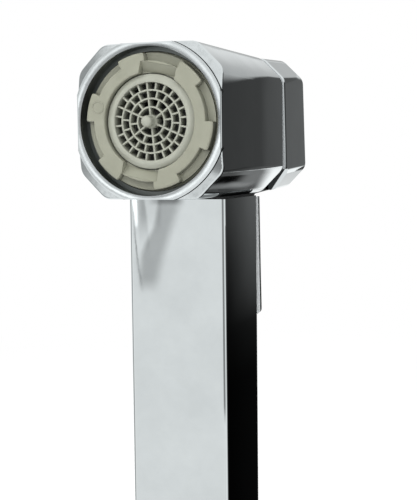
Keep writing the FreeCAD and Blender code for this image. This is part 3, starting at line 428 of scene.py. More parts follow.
def wall_point(azimuth, elevation):
    """Place on the dome."""
    return Vector((0, 0, DOME_HEIGHT)) + direction(azimuth, elevation) * DOME_RADIUS


def ground_point(azimuth, elevation):
    """Place where a look down from the dome's centre meets the floor."""
    reach = DOME_HEIGHT / math.tan(math.radians(-elevation))
    return Vector((0, 0, FLAG_LIFT)) + direction(azimuth, 0) * reach


azimuths = evenly(-180.0, 180.0, 1.5)
shaded_patch("tent_wall", azimuths, evenly(-4.5, 90.0, 1.5), wall_point, wall_shade)
shaded_patch("tent_ground", azimuths, evenly(-2.5, -76.25, -1.25), ground_point, ground_shade)

# %% [markdown]
# ## Cards for single faces
# Some faces show a particular shape: the front of the handle has a fold of the tent in it, like a curved V,
# and the lower chamfer of the head has a black streak in front and a white end. Such a card is placed by the
# rule of the mirror. The ray from the camera to a point of the face is reflected there and followed
# outwards, and the card stands across all those rays. What is painted on the card then appears on the face
# in its place.

# %% Cards placed by the rule of the mirror
CARD_REACH = 150.0
SHORT_OF_FLOOR = 0.9


def mirror_card(name, columns, rows, surface, shade, card_reach=CARD_REACH):
    """Card that a surface shows to the camera. Surface gives a place in mm and a normal for two measures."""
    eye = Vector(CAMERA_PLACE) * 1000

    def card_point(column, row):
        place, normal = surface(column, row)
        ray = (place - eye).normalized()
        bounce = ray - normal * (2 * ray.dot(normal))
        reach = card_reach
        if bounce.z < 0:
            reach = min(reach, SHORT_OF_FLOOR * place.z / -bounce.z)
        return (place + bounce * reach) / 1000

    shaded_patch(name, columns, rows, card_point, shade)


print("cards stand", CARD_REACH, "mm out")

# %% [markdown]
# ### Front of the handle
# The tent hung in a fold here. It shows as a white wedge beside a thin dark crease in the upper left corner,
# then two grey strips with a lighter one between, which run down and to the left and fade out 20 mm under
# the head.

# %% Card for the handle's front
FRONT_LEVEL, WEDGE_LEVEL = 0.92, 1.8
FOLD_LEFT = ((0.0, 7.3), (2.4, 7.0), (6.0, 6.1), (9.7, 3.9), (12.1, 3.0), (19.5, 2.6))
FOLD_RIGHT = ((0.0, 12.4), (2.4, 11.6), (6.0, 10.2), (9.7, 8.9), (12.1, 8.0), (17.0, 6.9), (20.0, 6.2))
CREASE = ((0.0, 0.45), (3.6, 0.95), (9.0, 1.4), (13.8, 1.9), (16.6, 2.4), (20.0, 2.85))


def handle_front(across, down):
    """Place and normal on the handle's front, from its upper left corner."""
    return Vector((across - HANDLE_HALF, -HANDLE_HALF, HANDLE_TOP - down)), Vector((0, -1, 0))


def handle_front_shade(across, down):
    """Brightness of the fold of the tent."""
    left, right, crease = (along(line, down) for line in (FOLD_LEFT, FOLD_RIGHT, CREASE))
    fade = 1 - step(16.5, 20.8, down)
    fold = step(left - 1.0, left + 0.6, across) * (1 - step(right - 1.8, right + 1.2, across))
    beside_fold = window(crease + 1.5, left - 0.8, 0.6, across)
    inner_strip = window(crease + 1.3, crease + 2.9, 0.6, across) * (1 - step(2.0, 13.0, down))
    top_tone = window(3.2, 7.0, 1.0, across) * (1 - step(2.0, 8.0, down))
    crease_line = window(crease - 0.08, crease + 0.08, 0.16, across)
    under_head = window(6.5, 11.0, 2.5, across) * (1 - step(0.3, 1.6, down))
    shade = FRONT_LEVEL + (0.05 * beside_fold - 0.36 * fold) * fade
    shade -= crease_line * fade * (0.34 + 0.3 * step(3.0, 17.0, down))
    shade -= 0.32 * inner_strip + 0.14 * top_tone + 0.3 * under_head
    wedge = window(crease + 0.28, 1.75 + 0.02 * down, 0.18, across) * (1 - step(5.0, 6.6, down))
    return shade + (WEDGE_LEVEL - shade) * wedge


mirror_card(
    "card_for_handle_front",
    evenly(-0.4, 2 * HANDLE_HALF + 0.4, 0.12), evenly(-0.4, 24.0, 0.3) + evenly(27.0, 97.0, 5.0),
    handle_front, handle_front_shade,
)

# %% [markdown]
# ### Right side of the handle
# It is nearly black, a little lighter towards the top and the rear. This card stands closer than the next
# one, which would otherwise show in the handle as well.

# %% Card for the handle's side
SIDE_CARD_REACH = 100.0
SIDE_IN_FRONT = ((0.0, 0.037), (6.0, 0.028), (12.0, 0.012), (20.0, 0.005), (39.0, 0.001))
SIDE_AT_REAR = ((0.0, 0.125), (6.0, 0.108), (12.0, 0.085), (20.0, 0.056), (28.0, 0.01), (39.0, 0.003))


def handle_side(back, down):
    """Place and normal on the handle's right side, from its upper front corner."""
    return Vector((HANDLE_HALF, back - HANDLE_HALF, HANDLE_TOP - down)), Vector((1, 0, 0))


def handle_side_shade(back, down):
    """Brightness of the handle's side."""
    front, rear = along(SIDE_IN_FRONT, down), along(SIDE_AT_REAR, down)
    return front + (rear - front) * step(-0.15, 1.05, back / (2 * HANDLE_HALF))


mirror_card(
    "card_for_handle_side", evenly(-1.0, 2 * HANDLE_HALF + 6.0, 1.0), evenly(-0.5, 100.0, 2.0),
    handle_side, handle_side_shade, SIDE_CARD_REACH,
)

# %% [markdown]
# ### Right flank of the head
# From its upper chamfer over the rounded edge, the flat side and the next rounded edge to the lower chamfer,
# the flank turns from light to dark and back. The light of the upper chamfer rolls over the edge in front
# and stops short of it at the rear. The lower edge carries a thin bright line, and the lower chamfer has a
# black streak in front, a dark middle and a white end. The lever's cap continues the flank behind a gap.
# Places along the flank are shares of the head's length, and places across it are mm past its flat side.

# %% Card for the head's flank
FLAT_HALF = HEAD_HALF_WIDTH - CHAMFER - LONG_EDGE_RADIUS * math.tan(math.pi / 8)
EDGE_ARC = LONG_EDGE_RADIUS * math.pi / 4
CHAMFER_WIDTH = CHAMFER * math.sqrt(2)
FLANK_HALF = FLAT_HALF + EDGE_ARC + CHAMFER_WIDTH - 2 * LONG_EDGE_RADIUS * math.tan(math.pi / 8)
CHAMFER_START = EDGE_ARC - LONG_EDGE_RADIUS * math.tan(math.pi / 8)
CAP_SHARE = 1.01
FLAT_SIDE = ((0.0, 0.05), (0.6, 0.058), (0.72, 0.085), (1.0, 0.1), (1.03, 0.125), (1.5, 0.14))
DARK_BELOW = ((0.0, -2.3), (0.25, -1.1), (0.5, 0.25), (0.75, 1.3), (1.0, 1.7), (1.05, 1.3), (1.45, -0.2))
LIGHT_ABOVE = ((0.0, 0.4), (0.25, 0.3), (0.5, 0.9), (0.75, 1.7), (1.0, 2.1), (1.05, 1.9), (1.45, 1.0))
UPPER_CHAMFER = ((0.0, 0.5), (2.4, 0.56), (4.0, 0.68), (6.0, 0.8), (7.5, 0.86))
WHITE_END, BRIGHT_LINE = 1.15, 1.2


def head_flank(back, way):
    """Place and normal on the flank, back from the front and up or down along it from the middle."""
    past = abs(way) - FLAT_HALF
    turn = min(max(past / LONG_EDGE_RADIUS, 0.0), math.pi / 4)
    slide = max(past - EDGE_ARC, 0.0) / math.sqrt(2)
    x = HEAD_HALF_WIDTH - LONG_EDGE_RADIUS * (1 - math.cos(turn)) - slide
    z = min(abs(way), FLAT_HALF) + LONG_EDGE_RADIUS * math.sin(turn) + slide
    side = math.copysign(1.0, way)
    place = Vector((x, HEAD_FRONT + back, HEAD_AXIS_HEIGHT + side * z))
    return place, Vector((math.cos(turn), 0, side * math.sin(turn)))


def upper_flank_shade(side, share, past):
    """Light chamfer over a dark side, with a brighter start on the cap."""
    light = along(UPPER_CHAMFER, past - 0.6 * share)
    if share > CAP_SHARE:
        light += 0.2 * (1 - step(CAP_SHARE, 1.15, share))
    return side + (light - side) * step(along(DARK_BELOW, share), along(LIGHT_ABOVE, share), past)


def lower_chamfer_shade(share, low):
    """Black streak in front, dark middle and white end, for shares of the chamfer's length and width."""
    shade = 0.085 + 0.12 * window(0.45, 0.62, 0.3, share) * (1 - step(0.45, 0.8, low))
    shade += 0.1 * window(0.55, 0.6, 0.1, low) * (1 - step(0.5, 0.8, share))
    shade *= 1 - 0.97 * window(0.2, 0.4, 0.08, low) * (1 - step(0.3, 0.52, share))
    white = step(0.62, 0.86, share - 0.17 * low + 0.3 * step(0.75, 1.0, low))
    return shade + (WHITE_END - shade) * white


def flank_shade(back, way):
    """Brightness that the flank shows."""
    share, past = back / HEAD_LENGTH, abs(way) - FLAT_HALF
    side = along(FLAT_SIDE, share)
    if way > 0:
        return upper_flank_shade(side, share, past)
    if share > CAP_SHARE:
        return side + (WHITE_END - side) * step(0.7, 1.1, past)
    line = 1.3 - 0.5 * share
    chamfer = lower_chamfer_shade(share, (past - CHAMFER_START) / CHAMFER_WIDTH)
    shade = side + (chamfer - side) * step(line, line + 0.3, past)
    return shade + (BRIGHT_LINE - shade) * window(line - 0.1, line + 0.1, 0.12, past)


mirror_card(
    "card_for_head_flank",
    evenly(0.0, HEAD_LENGTH + CAP_LENGTH + 9.0, 0.8), evenly(-FLANK_HALF - 2.0, FLANK_HALF, 0.12),
    head_flank, flank_shade,
)

# %% [markdown]
# ### Turned lip
# The flat ring of the lip is a little dished from turning, so it doesn't show one tone but fine rings: a
# white one in the middle and grey ones at both edges. The lip is drawn flat, and these rings are a painted
# reflection on its card.

# %% Card for the lip
LIP_INNER, LIP_OUTER = 14.7, 16.5


def lip_face(degrees, radius):
    """Place and normal on the lip's face."""
    angle = math.radians(degrees)
    place = Vector((radius * math.cos(angle), HEAD_FRONT, HEAD_AXIS_HEIGHT + radius * math.sin(angle)))
    return place, Vector((0, -1, 0))


def lip_shade(degrees, radius):
    """Brightness of the lip's rings."""
    left = 0.5 - 0.5 * math.cos(math.radians(degrees))
    low = 0.5 - 0.5 * math.sin(math.radians(degrees))
    inward = 0.2 * low
    shade = 0.86 - 0.12 * left + 0.22 * low
    shade -= 0.3 * window(LIP_INNER, 15.2 + 0.1 * left, 0.14, radius)
    shade -= 0.4 * (1 - left) * window(LIP_INNER, 15.0, 0.12, radius)
    shade += 0.45 * window(15.55 - inward, 15.85 - inward, 0.14, radius)
    return shade - (0.14 + 0.2 * low * left) * window(16.1 - inward, 16.25 - inward, 0.12, radius)


mirror_card(
    "card_for_lip", evenly(-180.0, 180.0, 3.0), evenly(LIP_INNER, LIP_OUTER, 0.06), lip_face, lip_shade,
)

# %% [markdown]
# ## Chrome
# The head, the handle and the lever are brass with bright nickel-chrome plating. Chrome is a mirror that
# takes back about two thirds of the light and is very slightly blue. Its surface was polished by hand before
# plating, so broad flats are a little wavy: that is a very shallow bump a few millimetres wide, not
# roughness. Faint wiping marks make the roughness vary. Where no polishing wheel reaches, the plating is
# thin and dull: in the mouth, behind the head, at the foot of the lip and on the lever's inner faces. The
# same material turns dark or matt there, by masks that are 1 where a place or the way a face looks lies in a
# range. The dark colours are painted shade: the mouth, the back of the head in its gap to the cap, the
# cap's face towards the head and the set-back lower corners of the lever are darkened where shade falls.
# The foot of the lip gets the same dark colour as the back of the head, as a dark line.

# %% Chrome on brass
WIPING_SIZE, WAVE_SIZE, WAVE_DEPTH = 14.0, 16.0, 0.02
POLISH_SIZE, POLISH_DEPTH, SCUFF_SIZE = 1.2, 0.0006, 1.1
DULL_ROUGHNESS, MATT_ROUGHNESS, MATT_METALLIC = 0.4, 0.5, 0.1
OPEN_END = 2.0
LOOKS_FORWARD, LOOKS_AT_HEAD, LOOKS_PARTLY = -0.8, -0.7, -0.4
MASK_MARGIN, BACK_MARGIN = 0.05, 0.03
BORE_MASK_DEPTH = 0.35
LIP_FOOT_REACH, LIP_FOOT_DEPTH = 0.11, 1.2
DULL_CORNER_INSET = 1.1
# The bore's colour is painted shade in the mouth, and the colour behind the head is painted shade in the gap
# to the cap; the lip's foot shares it as a dark line.
SCUFFED_CORNER, BORE_PAINTED_SHADE, BACK_SHADE_AND_LIP_FOOT_LINE = "C2C6C7", "787C7A", "2E3130"
# The cap's matt colour is a darker copy of the strip's, painted shade for its face in the gap, and the
# lever's corner colour is painted shade on its set-back lower corners.
MATT_STRIP, MATT_CAP_PAINTED_SHADE, LEVER_CORNER_PAINTED_SHADE = "DADDDE", "989C9E", "232627"


def blotched(tree, pattern, start, end, clean, stained):
    """Colour that goes from clean to stained where a pattern rises from start to end."""
    share = add_node(tree, "ShaderNodeMapRange", {"Value": pattern, "From Min": start, "From Max": end})
    return add_node(tree, "ShaderNodeMix", {0: share, 6: linear(clean), 7: linear(stained)}, data_type="RGBA")


def mask(tree, *ranges):
    """1 where each value lies between its low and its high end, and 0 elsewhere. OPEN_END is no limit."""
    whole = 1.0
    for value, low, high in ranges:
        middle, half = (low + high) / 2, (high - low) / 2
        within = add_node(tree, "ShaderNodeMath", {0: value, 1: middle, 2: half}, operation="COMPARE")
        whole = add_node(tree, "ShaderNodeMath", {0: whole, 1: within}, operation="MULTIPLY")
    return whole


def facing_of(tree):
    """Direction in which the surface faces, as three numbers."""
    normal = add_node(tree, "ShaderNodeTexCoord").outputs["Normal"]
    return add_node(tree, "ShaderNodeSeparateXYZ", {0: normal}).outputs


def head_masks(tree, place):
    """Masks of the mouth, of the head's back and the lip's foot, and of the front's four corners."""
    from_front = add_node(tree, "ShaderNodeMapping", {
        "Vector": place, "Location": (0, -mm(HEAD_FRONT), -mm(HEAD_AXIS_HEIGHT)),
    })
    depth = add_node(tree, "ShaderNodeSeparateXYZ", {0: from_front}).outputs["Y"]
    flat = add_node(tree, "ShaderNodeVectorMath", {0: from_front, 1: (1, 0, 1)}, operation="MULTIPLY")
    radius = add_node(tree, "ShaderNodeVectorMath", {0: flat}, operation="LENGTH")
    in_mouth = (radius, -OPEN_END, mm(MOUTH_RADIUS + MASK_MARGIN))
    on_lip = (radius, mm(LIP_RADIUS - MASK_MARGIN), mm(LIP_RADIUS + LIP_FOOT_REACH))
    past_lip = (radius, mm(LIP_RADIUS + MASK_MARGIN), OPEN_END)
    bore = mask(tree, in_mouth, (depth, mm(BORE_MASK_DEPTH), OPEN_END))
    back = mask(tree, (depth, mm(HEAD_LENGTH + BACK_MARGIN), OPEN_END))
    foot = mask(tree, on_lip, (depth, mm(MASK_MARGIN), mm(LIP_FOOT_DEPTH)))
    hidden = add_node(tree, "ShaderNodeMath", {0: back, 1: foot}, operation="MAXIMUM")
    return bore, hidden, mask(tree, past_lip, (facing_of(tree)["Y"], -OPEN_END, LOOKS_FORWARD))


def lever_masks(tree, place):
    """Masks of the lever's faces towards the head, of its set-back corners below, and of the cap."""
    facing, parts = facing_of(tree), add_node(tree, "ShaderNodeSeparateXYZ", {0: place}).outputs
    sideways = add_node(tree, "ShaderNodeMath", {0: parts["X"]}, operation="ABSOLUTE")
    outwards = add_node(tree, "ShaderNodeMath", {0: sideways, 1: parts["Z"]}, operation="SUBTRACT")
    rim = 2 * HEAD_HALF_WIDTH - CAP_CORNER_CUT - HEAD_AXIS_HEIGHT
    inner = mask(tree, (facing["Y"], -OPEN_END, LOOKS_AT_HEAD))
    corners = mask(
        tree, (facing["Z"], -OPEN_END, LOOKS_PARTLY), (facing["Y"], -OPEN_END, LOOKS_PARTLY),
        (outwards, -OPEN_END, mm(rim - DULL_CORNER_INSET)),
    )
    return inner, corners, mask(tree, (parts["Z"], mm(HANDLE_TOP), OPEN_END))


def dull_and_shaded_head(tree, place, colour, roughness):
    """Colour and roughness of the head with its dull places: painted shade in the bore and behind the head,
    and a dark line at the lip's foot.
    """
    bore, hidden, corners = head_masks(tree, place)
    spots = add_node(tree, "ShaderNodeTexNoise", {
        "Vector": place, "Scale": scale_for(SCUFF_SIZE), "Detail": 3.0, "Roughness": 0.6,
    })
    scuffs = add_node(tree, "ShaderNodeMapRange", {
        "Value": spots, "From Min": 0.45, "From Max": 0.75, "To Max": 0.8,
    })
    scuffed = add_node(tree, "ShaderNodeMath", {0: corners, 1: scuffs}, operation="MULTIPLY")
    matt = add_node(tree, "ShaderNodeMapRange", {"Value": scuffs, "To Min": 0.05, "To Max": 0.14})
    for share, amount in ((corners, matt), (bore, DULL_ROUGHNESS), (hidden, DULL_ROUGHNESS)):
        values = {0: share, 1: amount, 2: roughness}
        roughness = add_node(tree, "ShaderNodeMath", values, operation="MULTIPLY_ADD")
    # Scuffed corners are wear; the bore and the back of the head get painted shade, and the lip's foot a dark
    # line.
    for share, dull_finish_and_shade in ((scuffed, SCUFFED_CORNER), (bore, BORE_PAINTED_SHADE), (hidden, BACK_SHADE_AND_LIP_FOOT_LINE)):
        values = {0: share, 6: colour, 7: linear(dull_finish_and_shade)}
        colour = add_node(tree, "ShaderNodeMix", values, data_type="RGBA")
    return colour, roughness


def matt_and_shaded_lever(tree, place, shader, colour, roughness):
    """Colour and roughness of the lever, whose inner faces are hardly plated, with painted shade on the cap's
    inner face and on the set-back lower corners.
    """
    inner, corners, on_cap = lever_masks(tree, place)
    # The cap's inner face gets a darker, painted-shade copy of the matt colour, and the set-back corners get
    # painted shade.
    values = {0: on_cap, 6: linear(MATT_STRIP), 7: linear(MATT_CAP_PAINTED_SHADE)}
    matt = add_node(tree, "ShaderNodeMix", values, data_type="RGBA")
    for share, dull_finish_and_shade in ((inner, matt), (corners, linear(LEVER_CORNER_PAINTED_SHADE))):
        colour = add_node(tree, "ShaderNodeMix", {0: share, 6: colour, 7: dull_finish_and_shade}, data_type="RGBA")
    bare = add_node(tree, "ShaderNodeMapRange", {"Value": inner, "To Min": 1.0, "To Max": MATT_METALLIC})
    fill(tree, shader, {"Metallic": bare})
    values = {0: inner, 1: MATT_ROUGHNESS, 2: roughness}
    return colour, add_node(tree, "ShaderNodeMath", values, operation="MULTIPLY_ADD")


def chrome(name, is_head=False, is_lever=False):
    """Bright chrome plating with polishing waves and faint wiping marks."""
    material, tree, shader, place = new_material(name, {"Metallic": 1.0})
    wiping = add_node(tree, "ShaderNodeTexNoise", {
        "Vector": place, "Scale": scale_for(WIPING_SIZE), "Detail": 4.0, "Roughness": 0.6,
    })
    colour = blotched(tree, wiping, 0.35, 0.7, "DEE2E3", "D4D8D9")
    roughness = add_node(tree, "ShaderNodeMapRange", {
        "Value": wiping, "From Min": 0.35, "From Max": 0.7, "To Min": 0.012, "To Max": 0.045,
    })
    if is_head:
        colour, roughness = dull_and_shaded_head(tree, place, colour, roughness)
    if is_lever:
        colour, roughness = matt_and_shaded_lever(tree, place, shader, colour, roughness)
    broad = add_node(tree, "ShaderNodeTexNoise", {
        "Vector": place, "Scale": scale_for(WAVE_SIZE), "Detail": 1.0, "Roughness": 0.4,
    })
    fine = add_node(tree, "ShaderNodeTexNoise", {"Vector": place, "Scale": scale_for(POLISH_SIZE)})
    waves = add_node(tree, "ShaderNodeBump", {"Height": broad, "Distance": mm(WAVE_DEPTH)})
    polish = add_node(tree, "ShaderNodeBump", {"Height": fine, "Distance": mm(POLISH_DEPTH), "Normal": waves})
    fill(tree, shader, {"Base Color": colour, "Roughness": roughness, "Normal": polish})
    return material


bright_chrome = chrome("polished_chrome_plate")
head_chrome = chrome("polished_chrome_plate_dull_with_painted_shade", is_head=True)
lever_chrome = chrome("polished_chrome_plate_matt_inside_with_painted_shade", is_lever=True)
print("chrome finishes:", bright_chrome.name, head_chrome.name, lever_chrome.name)

# %% [markdown]
# ## Moulded plastic
# The aerator ring and grille are acetal, a waxy engineering plastic with a low gloss. It was moulded against
# a finely eroded tool, so it has an even, very fine grain, and light enters it a little way, which softens
# its edges. The real grain is a few hundredths of a millimetre wide, and is drawn 0.35 mm wide so that it
# shows. The ring is an olive grey and the grille is a shade lighter. The diffuser plate behind them is made
# dark as painted shade for the deep cells of the grille, and the thrust button is acetal in its natural
# white.

# %% Acetal, inside and out
CLOUD_SIZE, FLOW_SIZE, FLOW_DEPTH = 5.0, 3.0, 0.01
GRAIN_SIZE, GRAIN_DEPTH = 0.35, 0.004
LIGHT_REACH, LIGHT_REACH_BY_COLOUR = 0.6, (1.0, 0.9, 0.7)


def acetal(name, colour, shaded, gloss, translucence=0.06):
    """Moulded acetal: waxy, low gloss, with the fine grain of the tool."""
    material, tree, shader, place = new_material(name, {
        "IOR": 1.48, "Subsurface Weight": translucence, "Subsurface Radius": LIGHT_REACH_BY_COLOUR,
        "Subsurface Scale": mm(LIGHT_REACH),
    })
    clouds = add_node(tree, "ShaderNodeTexNoise", {
        "Vector": place, "Scale": scale_for(CLOUD_SIZE), "Detail": 3.0, "Roughness": 0.55,
    })
    grain = add_node(tree, "ShaderNodeTexNoise", {
        "Vector": place, "Scale": scale_for(GRAIN_SIZE), "Roughness": 0.6,
    })
    shine = add_node(tree, "ShaderNodeMapRange", {
        "Value": grain, "To Min": gloss - 0.05, "To Max": gloss + 0.08,
    })
    flow = add_node(tree, "ShaderNodeTexNoise", {"Vector": place, "Scale": scale_for(FLOW_SIZE)})
    wavy = add_node(tree, "ShaderNodeBump", {"Height": flow, "Distance": mm(FLOW_DEPTH)})
    rough = add_node(tree, "ShaderNodeBump", {"Height": grain, "Distance": mm(GRAIN_DEPTH), "Normal": wavy})
    fill(tree, shader, {
        "Base Color": blotched(tree, clouds, 0.3, 0.75, colour, shaded),
        "Roughness": shine,
        "Normal": rough,
    })
    return material


ring_plastic = acetal("moulded_acetal_olive_grey", "868779", "7E7F71", 0.36)
grille_plastic = acetal("moulded_acetal_pale_grey", "94968B", "8A8C81", 0.34)
# The diffuser's dark colour is painted shade for the deep cells of the grille.
cell_shade_dark_plastic = acetal("moulded_acetal_dark_grey_painted_cell_shade", "33332E", "2A2A26", 0.4, 0.0)
hidden_plastic = acetal("moulded_acetal_natural_white", "D9D7CE", "CFCDC3", 0.4)
print("plastics:", ring_plastic.name, grille_plastic.name, cell_shade_dark_plastic.name, hidden_plastic.name)

# %% [markdown]
# ## Bare metals
# The nuts, the valve sleeve and the water tube are turned from brass and left bare. The stem, the hinge pin
# and the filter screen are stainless steel, and the spring is steel wire. Turning and drawing leave fine
# rings round the axis, and the bare metal is dulled in the hollows by water. The rings are really 0.1 mm
# apart, and are drawn 0.3 to 0.5 mm apart so that they show.

# %% Brass, stainless steel and spring wire
STAIN_SIZE = 4.0


def turned_metal(name, colour, stained, roughness_low, roughness_high, ring_mm, depth_mm):
    """Bare turned metal with lathe rings about the head's axis."""
    material, tree, shader, place = new_material(name, {"Metallic": 1.0})
    stains = add_node(tree, "ShaderNodeTexNoise", {
        "Vector": place, "Scale": scale_for(STAIN_SIZE), "Detail": 4.0, "Roughness": 0.6,
    })
    dulled = add_node(tree, "ShaderNodeMapRange", {
        "Value": stains, "From Min": 0.3, "From Max": 0.8, "To Min": roughness_low, "To Max": roughness_high,
    })
    centred = add_node(tree, "ShaderNodeMapping", {
        "Vector": place, "Location": (0, 0, -mm(HEAD_AXIS_HEIGHT)),
    })
    rings = add_node(tree, "ShaderNodeTexWave", {
        "Vector": centred, "Scale": scale_for(ring_mm) / math.tau, "Distortion": 0.4, "Detail": 1.0,
    }, wave_type="RINGS", rings_direction="Y").outputs["Fac"]
    fill(tree, shader, {
        "Base Color": blotched(tree, stains, 0.4, 0.75, colour, stained),
        "Roughness": dulled,
        "Normal": add_node(tree, "ShaderNodeBump", {"Height": rings, "Distance": mm(depth_mm)}),
    })
    return material


bare_brass = turned_metal("turned_brass", "C9A35B", "9C7A3E", 0.22, 0.42, 0.3, 0.006)
stainless = turned_metal("drawn_stainless_steel", "B9BBBC", "A3A5A6", 0.2, 0.34, 0.4, 0.003)
spring_wire = turned_metal("spring_steel_wire", "9A9C9D", "7E8081", 0.26, 0.4, 0.5, 0.002)
print("bare metals:", bare_brass.name, stainless.name, spring_wire.name)

# %% [markdown]
# ## Rubber and black polymer
# Washers and o-rings are black nitrile rubber, with the dull bloom of moulded rubber. The thin black line
# between handle and head is the edge of a moulded black locator: glass-filled nylon, a bit glossier, with
# the short fibres just visible as a streaky grain. It is drawn coarser than the fibres so that it shows.

# %% Black parts
DUST_DEPTH = 0.005


def black_moulding(name, colour, bloom, roughness, grain_mm, stretch):
    """Black moulded rubber or nylon with a faint bloom."""
    material, tree, shader, place = new_material(name)
    stretched = add_node(tree, "ShaderNodeMapping", {"Vector": place, "Scale": (1, 1, stretch)})
    dust = add_node(tree, "ShaderNodeTexNoise", {
        "Vector": stretched, "Scale": scale_for(grain_mm), "Detail": 3.0, "Roughness": 0.6,
    })
    dulled = add_node(tree, "ShaderNodeMapRange", {
        "Value": dust, "To Min": roughness, "To Max": roughness + 0.15,
    })
    fill(tree, shader, {
        "Base Color": blotched(tree, dust, 0.5, 0.8, colour, bloom),
        "Roughness": dulled,
        "Normal": add_node(tree, "ShaderNodeBump", {"Height": dust, "Distance": mm(DUST_DEPTH)}),
    })
    return material


black_rubber = black_moulding("moulded_nitrile_rubber", "181918", "2A2B2A", 0.55, 0.5, 1.0)
black_nylon = black_moulding("glass_filled_nylon_black", "101112", "1E2021", 0.4, 0.6, 0.2)
print("black parts:", black_rubber.name, black_nylon.name)

# %% [markdown]
# ## Helpers for shapes
# The moulded and threaded pieces are drawn finer here than in the CAD model. Each is a grid of points: rows
# along its profile and columns round its axis. Pieces of the head are drawn about an axis that points at the
# viewer and then turned into place in one step. A Geometry Nodes tree makes whatever repeats, and its result
# is kept as a plain mesh.

# %% Shape helpers
HEAD_PLACE = Matrix.Translation((0, mm(HEAD_FRONT), mm(HEAD_AXIS_HEIGHT)))
HEAD_TURN = HEAD_PLACE @ Matrix.Rotation(math.radians(90), 4, "X")
SHARP_DEGREES = 35.0


def softened(corners, steps=4):
    """Outline of (radius, depth) points whose corners (radius, depth, size) are rounded."""
    outline = []
    for index, (radius, depth, size) in enumerate(corners):
        here = Vector((radius, depth))
        if not size:
            outline.append(tuple(here))
            continue
        before = Vector(corners[index - 1][:2])
        after = Vector(corners[(index + 1) % len(corners)][:2])
        start = here + (before - here).normalized() * size
        end = here + (after - here).normalized() * size
        for share in evenly(0, 1, 1 / steps):
            first, last = start.lerp(here, share), here.lerp(end, share)
            outline.append(tuple(first.lerp(last, share)))
    return outline


def turned(profile, columns):
    """Rows of points from a (radius, depth) profile turned about the axis."""
    angles = [math.tau * index / columns for index in range(columns)]
    return [
        [(radius * math.cos(angle), radius * math.sin(angle), -depth) for angle in angles]
        for radius, depth in profile
    ]


def grid_mesh(name, rows, round_axis=True, closed_profile=True):
    """Mesh from rows of points in mm."""
    mesh = bpy.data.meshes.new(name)
    points = [[mm(value) for value in point] for row in rows for point in row]
    mesh.from_pydata(points, [], grid_faces(len(rows[0]), len(rows), round_axis, closed_profile))
    return mesh


def joined(name, meshes):
    """One mesh from several, with normals outward and only true edges left sharp."""
    whole = bmesh.new()
    for mesh in meshes:
        whole.from_mesh(mesh)
    bmesh.ops.remove_doubles(whole, verts=whole.verts, dist=1e-8)
    bmesh.ops.dissolve_degenerate(whole, edges=whole.edges, dist=1e-8)
    bmesh.ops.recalc_face_normals(whole, faces=whole.faces)
    for face in whole.faces:
        face.smooth = True
        face.material_index = 0
    for edge in whole.edges:
        edge.smooth = edge.calc_face_angle(0.0) < math.radians(SHARP_DEGREES)
    result = bpy.data.meshes.new(name)
    whole.to_mesh(result)
    whole.free()
    return result


def new_tree(name, inputs):
    """Empty Geometry Nodes tree with named inputs, and its inputs as sockets to link."""
    tree = bpy.data.node_groups.new(name, "GeometryNodeTree")
    for socket_name, kind in inputs.items():
        tree.interface.new_socket(socket_name, in_out="INPUT", socket_type="NodeSocket" + kind)
    tree.interface.new_socket("Geometry", in_out="OUTPUT", socket_type="NodeSocketGeometry")
    return tree, add_node(tree, "NodeGroupInput").outputs


def end_tree(tree, geometry, material):
    """Last nodes of every tree: real geometry with its material."""
    real = add_node(tree, "GeometryNodeRealizeInstances", {0: geometry})
    painted = add_node(tree, "GeometryNodeSetMaterial", {"Geometry": real, "Material": material})
    add_node(tree, "NodeGroupOutput", {0: painted})


def grown(tree, values, mesh=None):
    """Plain mesh that a tree makes from named values and a mesh, or from nothing."""
    seed = add_object(tree.name, mesh or bpy.data.meshes.new("no_seed"))
    modifier = seed.modifiers.new(tree.name, "NODES")
    modifier.node_group = tree
    for socket in tree.interface.items_tree:
        if socket.in_out == "INPUT" and socket.name in values:
            modifier[socket.identifier] = values[socket.name]
    seen = seed.evaluated_get(bpy.context.evaluated_depsgraph_get())
    result = bpy.data.meshes.new_from_object(seen)
    seed.modifiers.clear()
    bpy.data.objects.remove(seed)
    return result


def add_piece(mesh, material, node):
    """Puts a finished mesh in the scene in place of a CAD node."""
    mesh.materials.clear()
    mesh.materials.append(material)
    thing = add_object(mesh.name, mesh)
    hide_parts(node)
    print(thing.name, "faces:", len(mesh.polygons))
    return thing


print("rounded square test:", len(softened([(0, 0, 0.1), (1, 0, 0.1), (1, 1, 0.1), (0, 1, 0.1)])), "points")

# %% [markdown]
# ## Copies round an axis
# Teeth and spokes stand in a circle. This small tree places copies of what it is given at equal angles, and
# the trees of the ring and of the grille both use it.

# %% Tree for copies round an axis
def copies_round_axis():
    """Tree that turns copies of a geometry about the Z axis."""
    tree, given = new_tree("copies_round_axis", {
        "Geometry": "Geometry", "Count": "Int", "First Angle": "Float",
    })
    between_two = add_node(tree, "ShaderNodeMath", {0: math.tau, 1: given["Count"]}, operation="DIVIDE")
    which = add_node(tree, "GeometryNodeInputIndex")
    angle = add_node(tree, "ShaderNodeMath", {
        0: which, 1: between_two, 2: given["First Angle"],
    }, operation="MULTIPLY_ADD")
    turn = add_node(tree, "ShaderNodeCombineXYZ", {"Z": angle})
    copies = add_node(tree, "GeometryNodeInstanceOnPoints", {
        "Points": add_node(tree, "GeometryNodePoints", {"Count": given["Count"]}),
        "Instance": given["Geometry"],
        "Rotation": add_node(tree, "FunctionNodeEulerToRotation", {0: turn}),
    })
    add_node(tree, "NodeGroupOutput", {0: copies})
    return tree


round_axis_tree = copies_round_axis()
print("inputs:", [socket.name for socket in round_axis_tree.interface.items_tree if socket.in_out == "INPUT"])

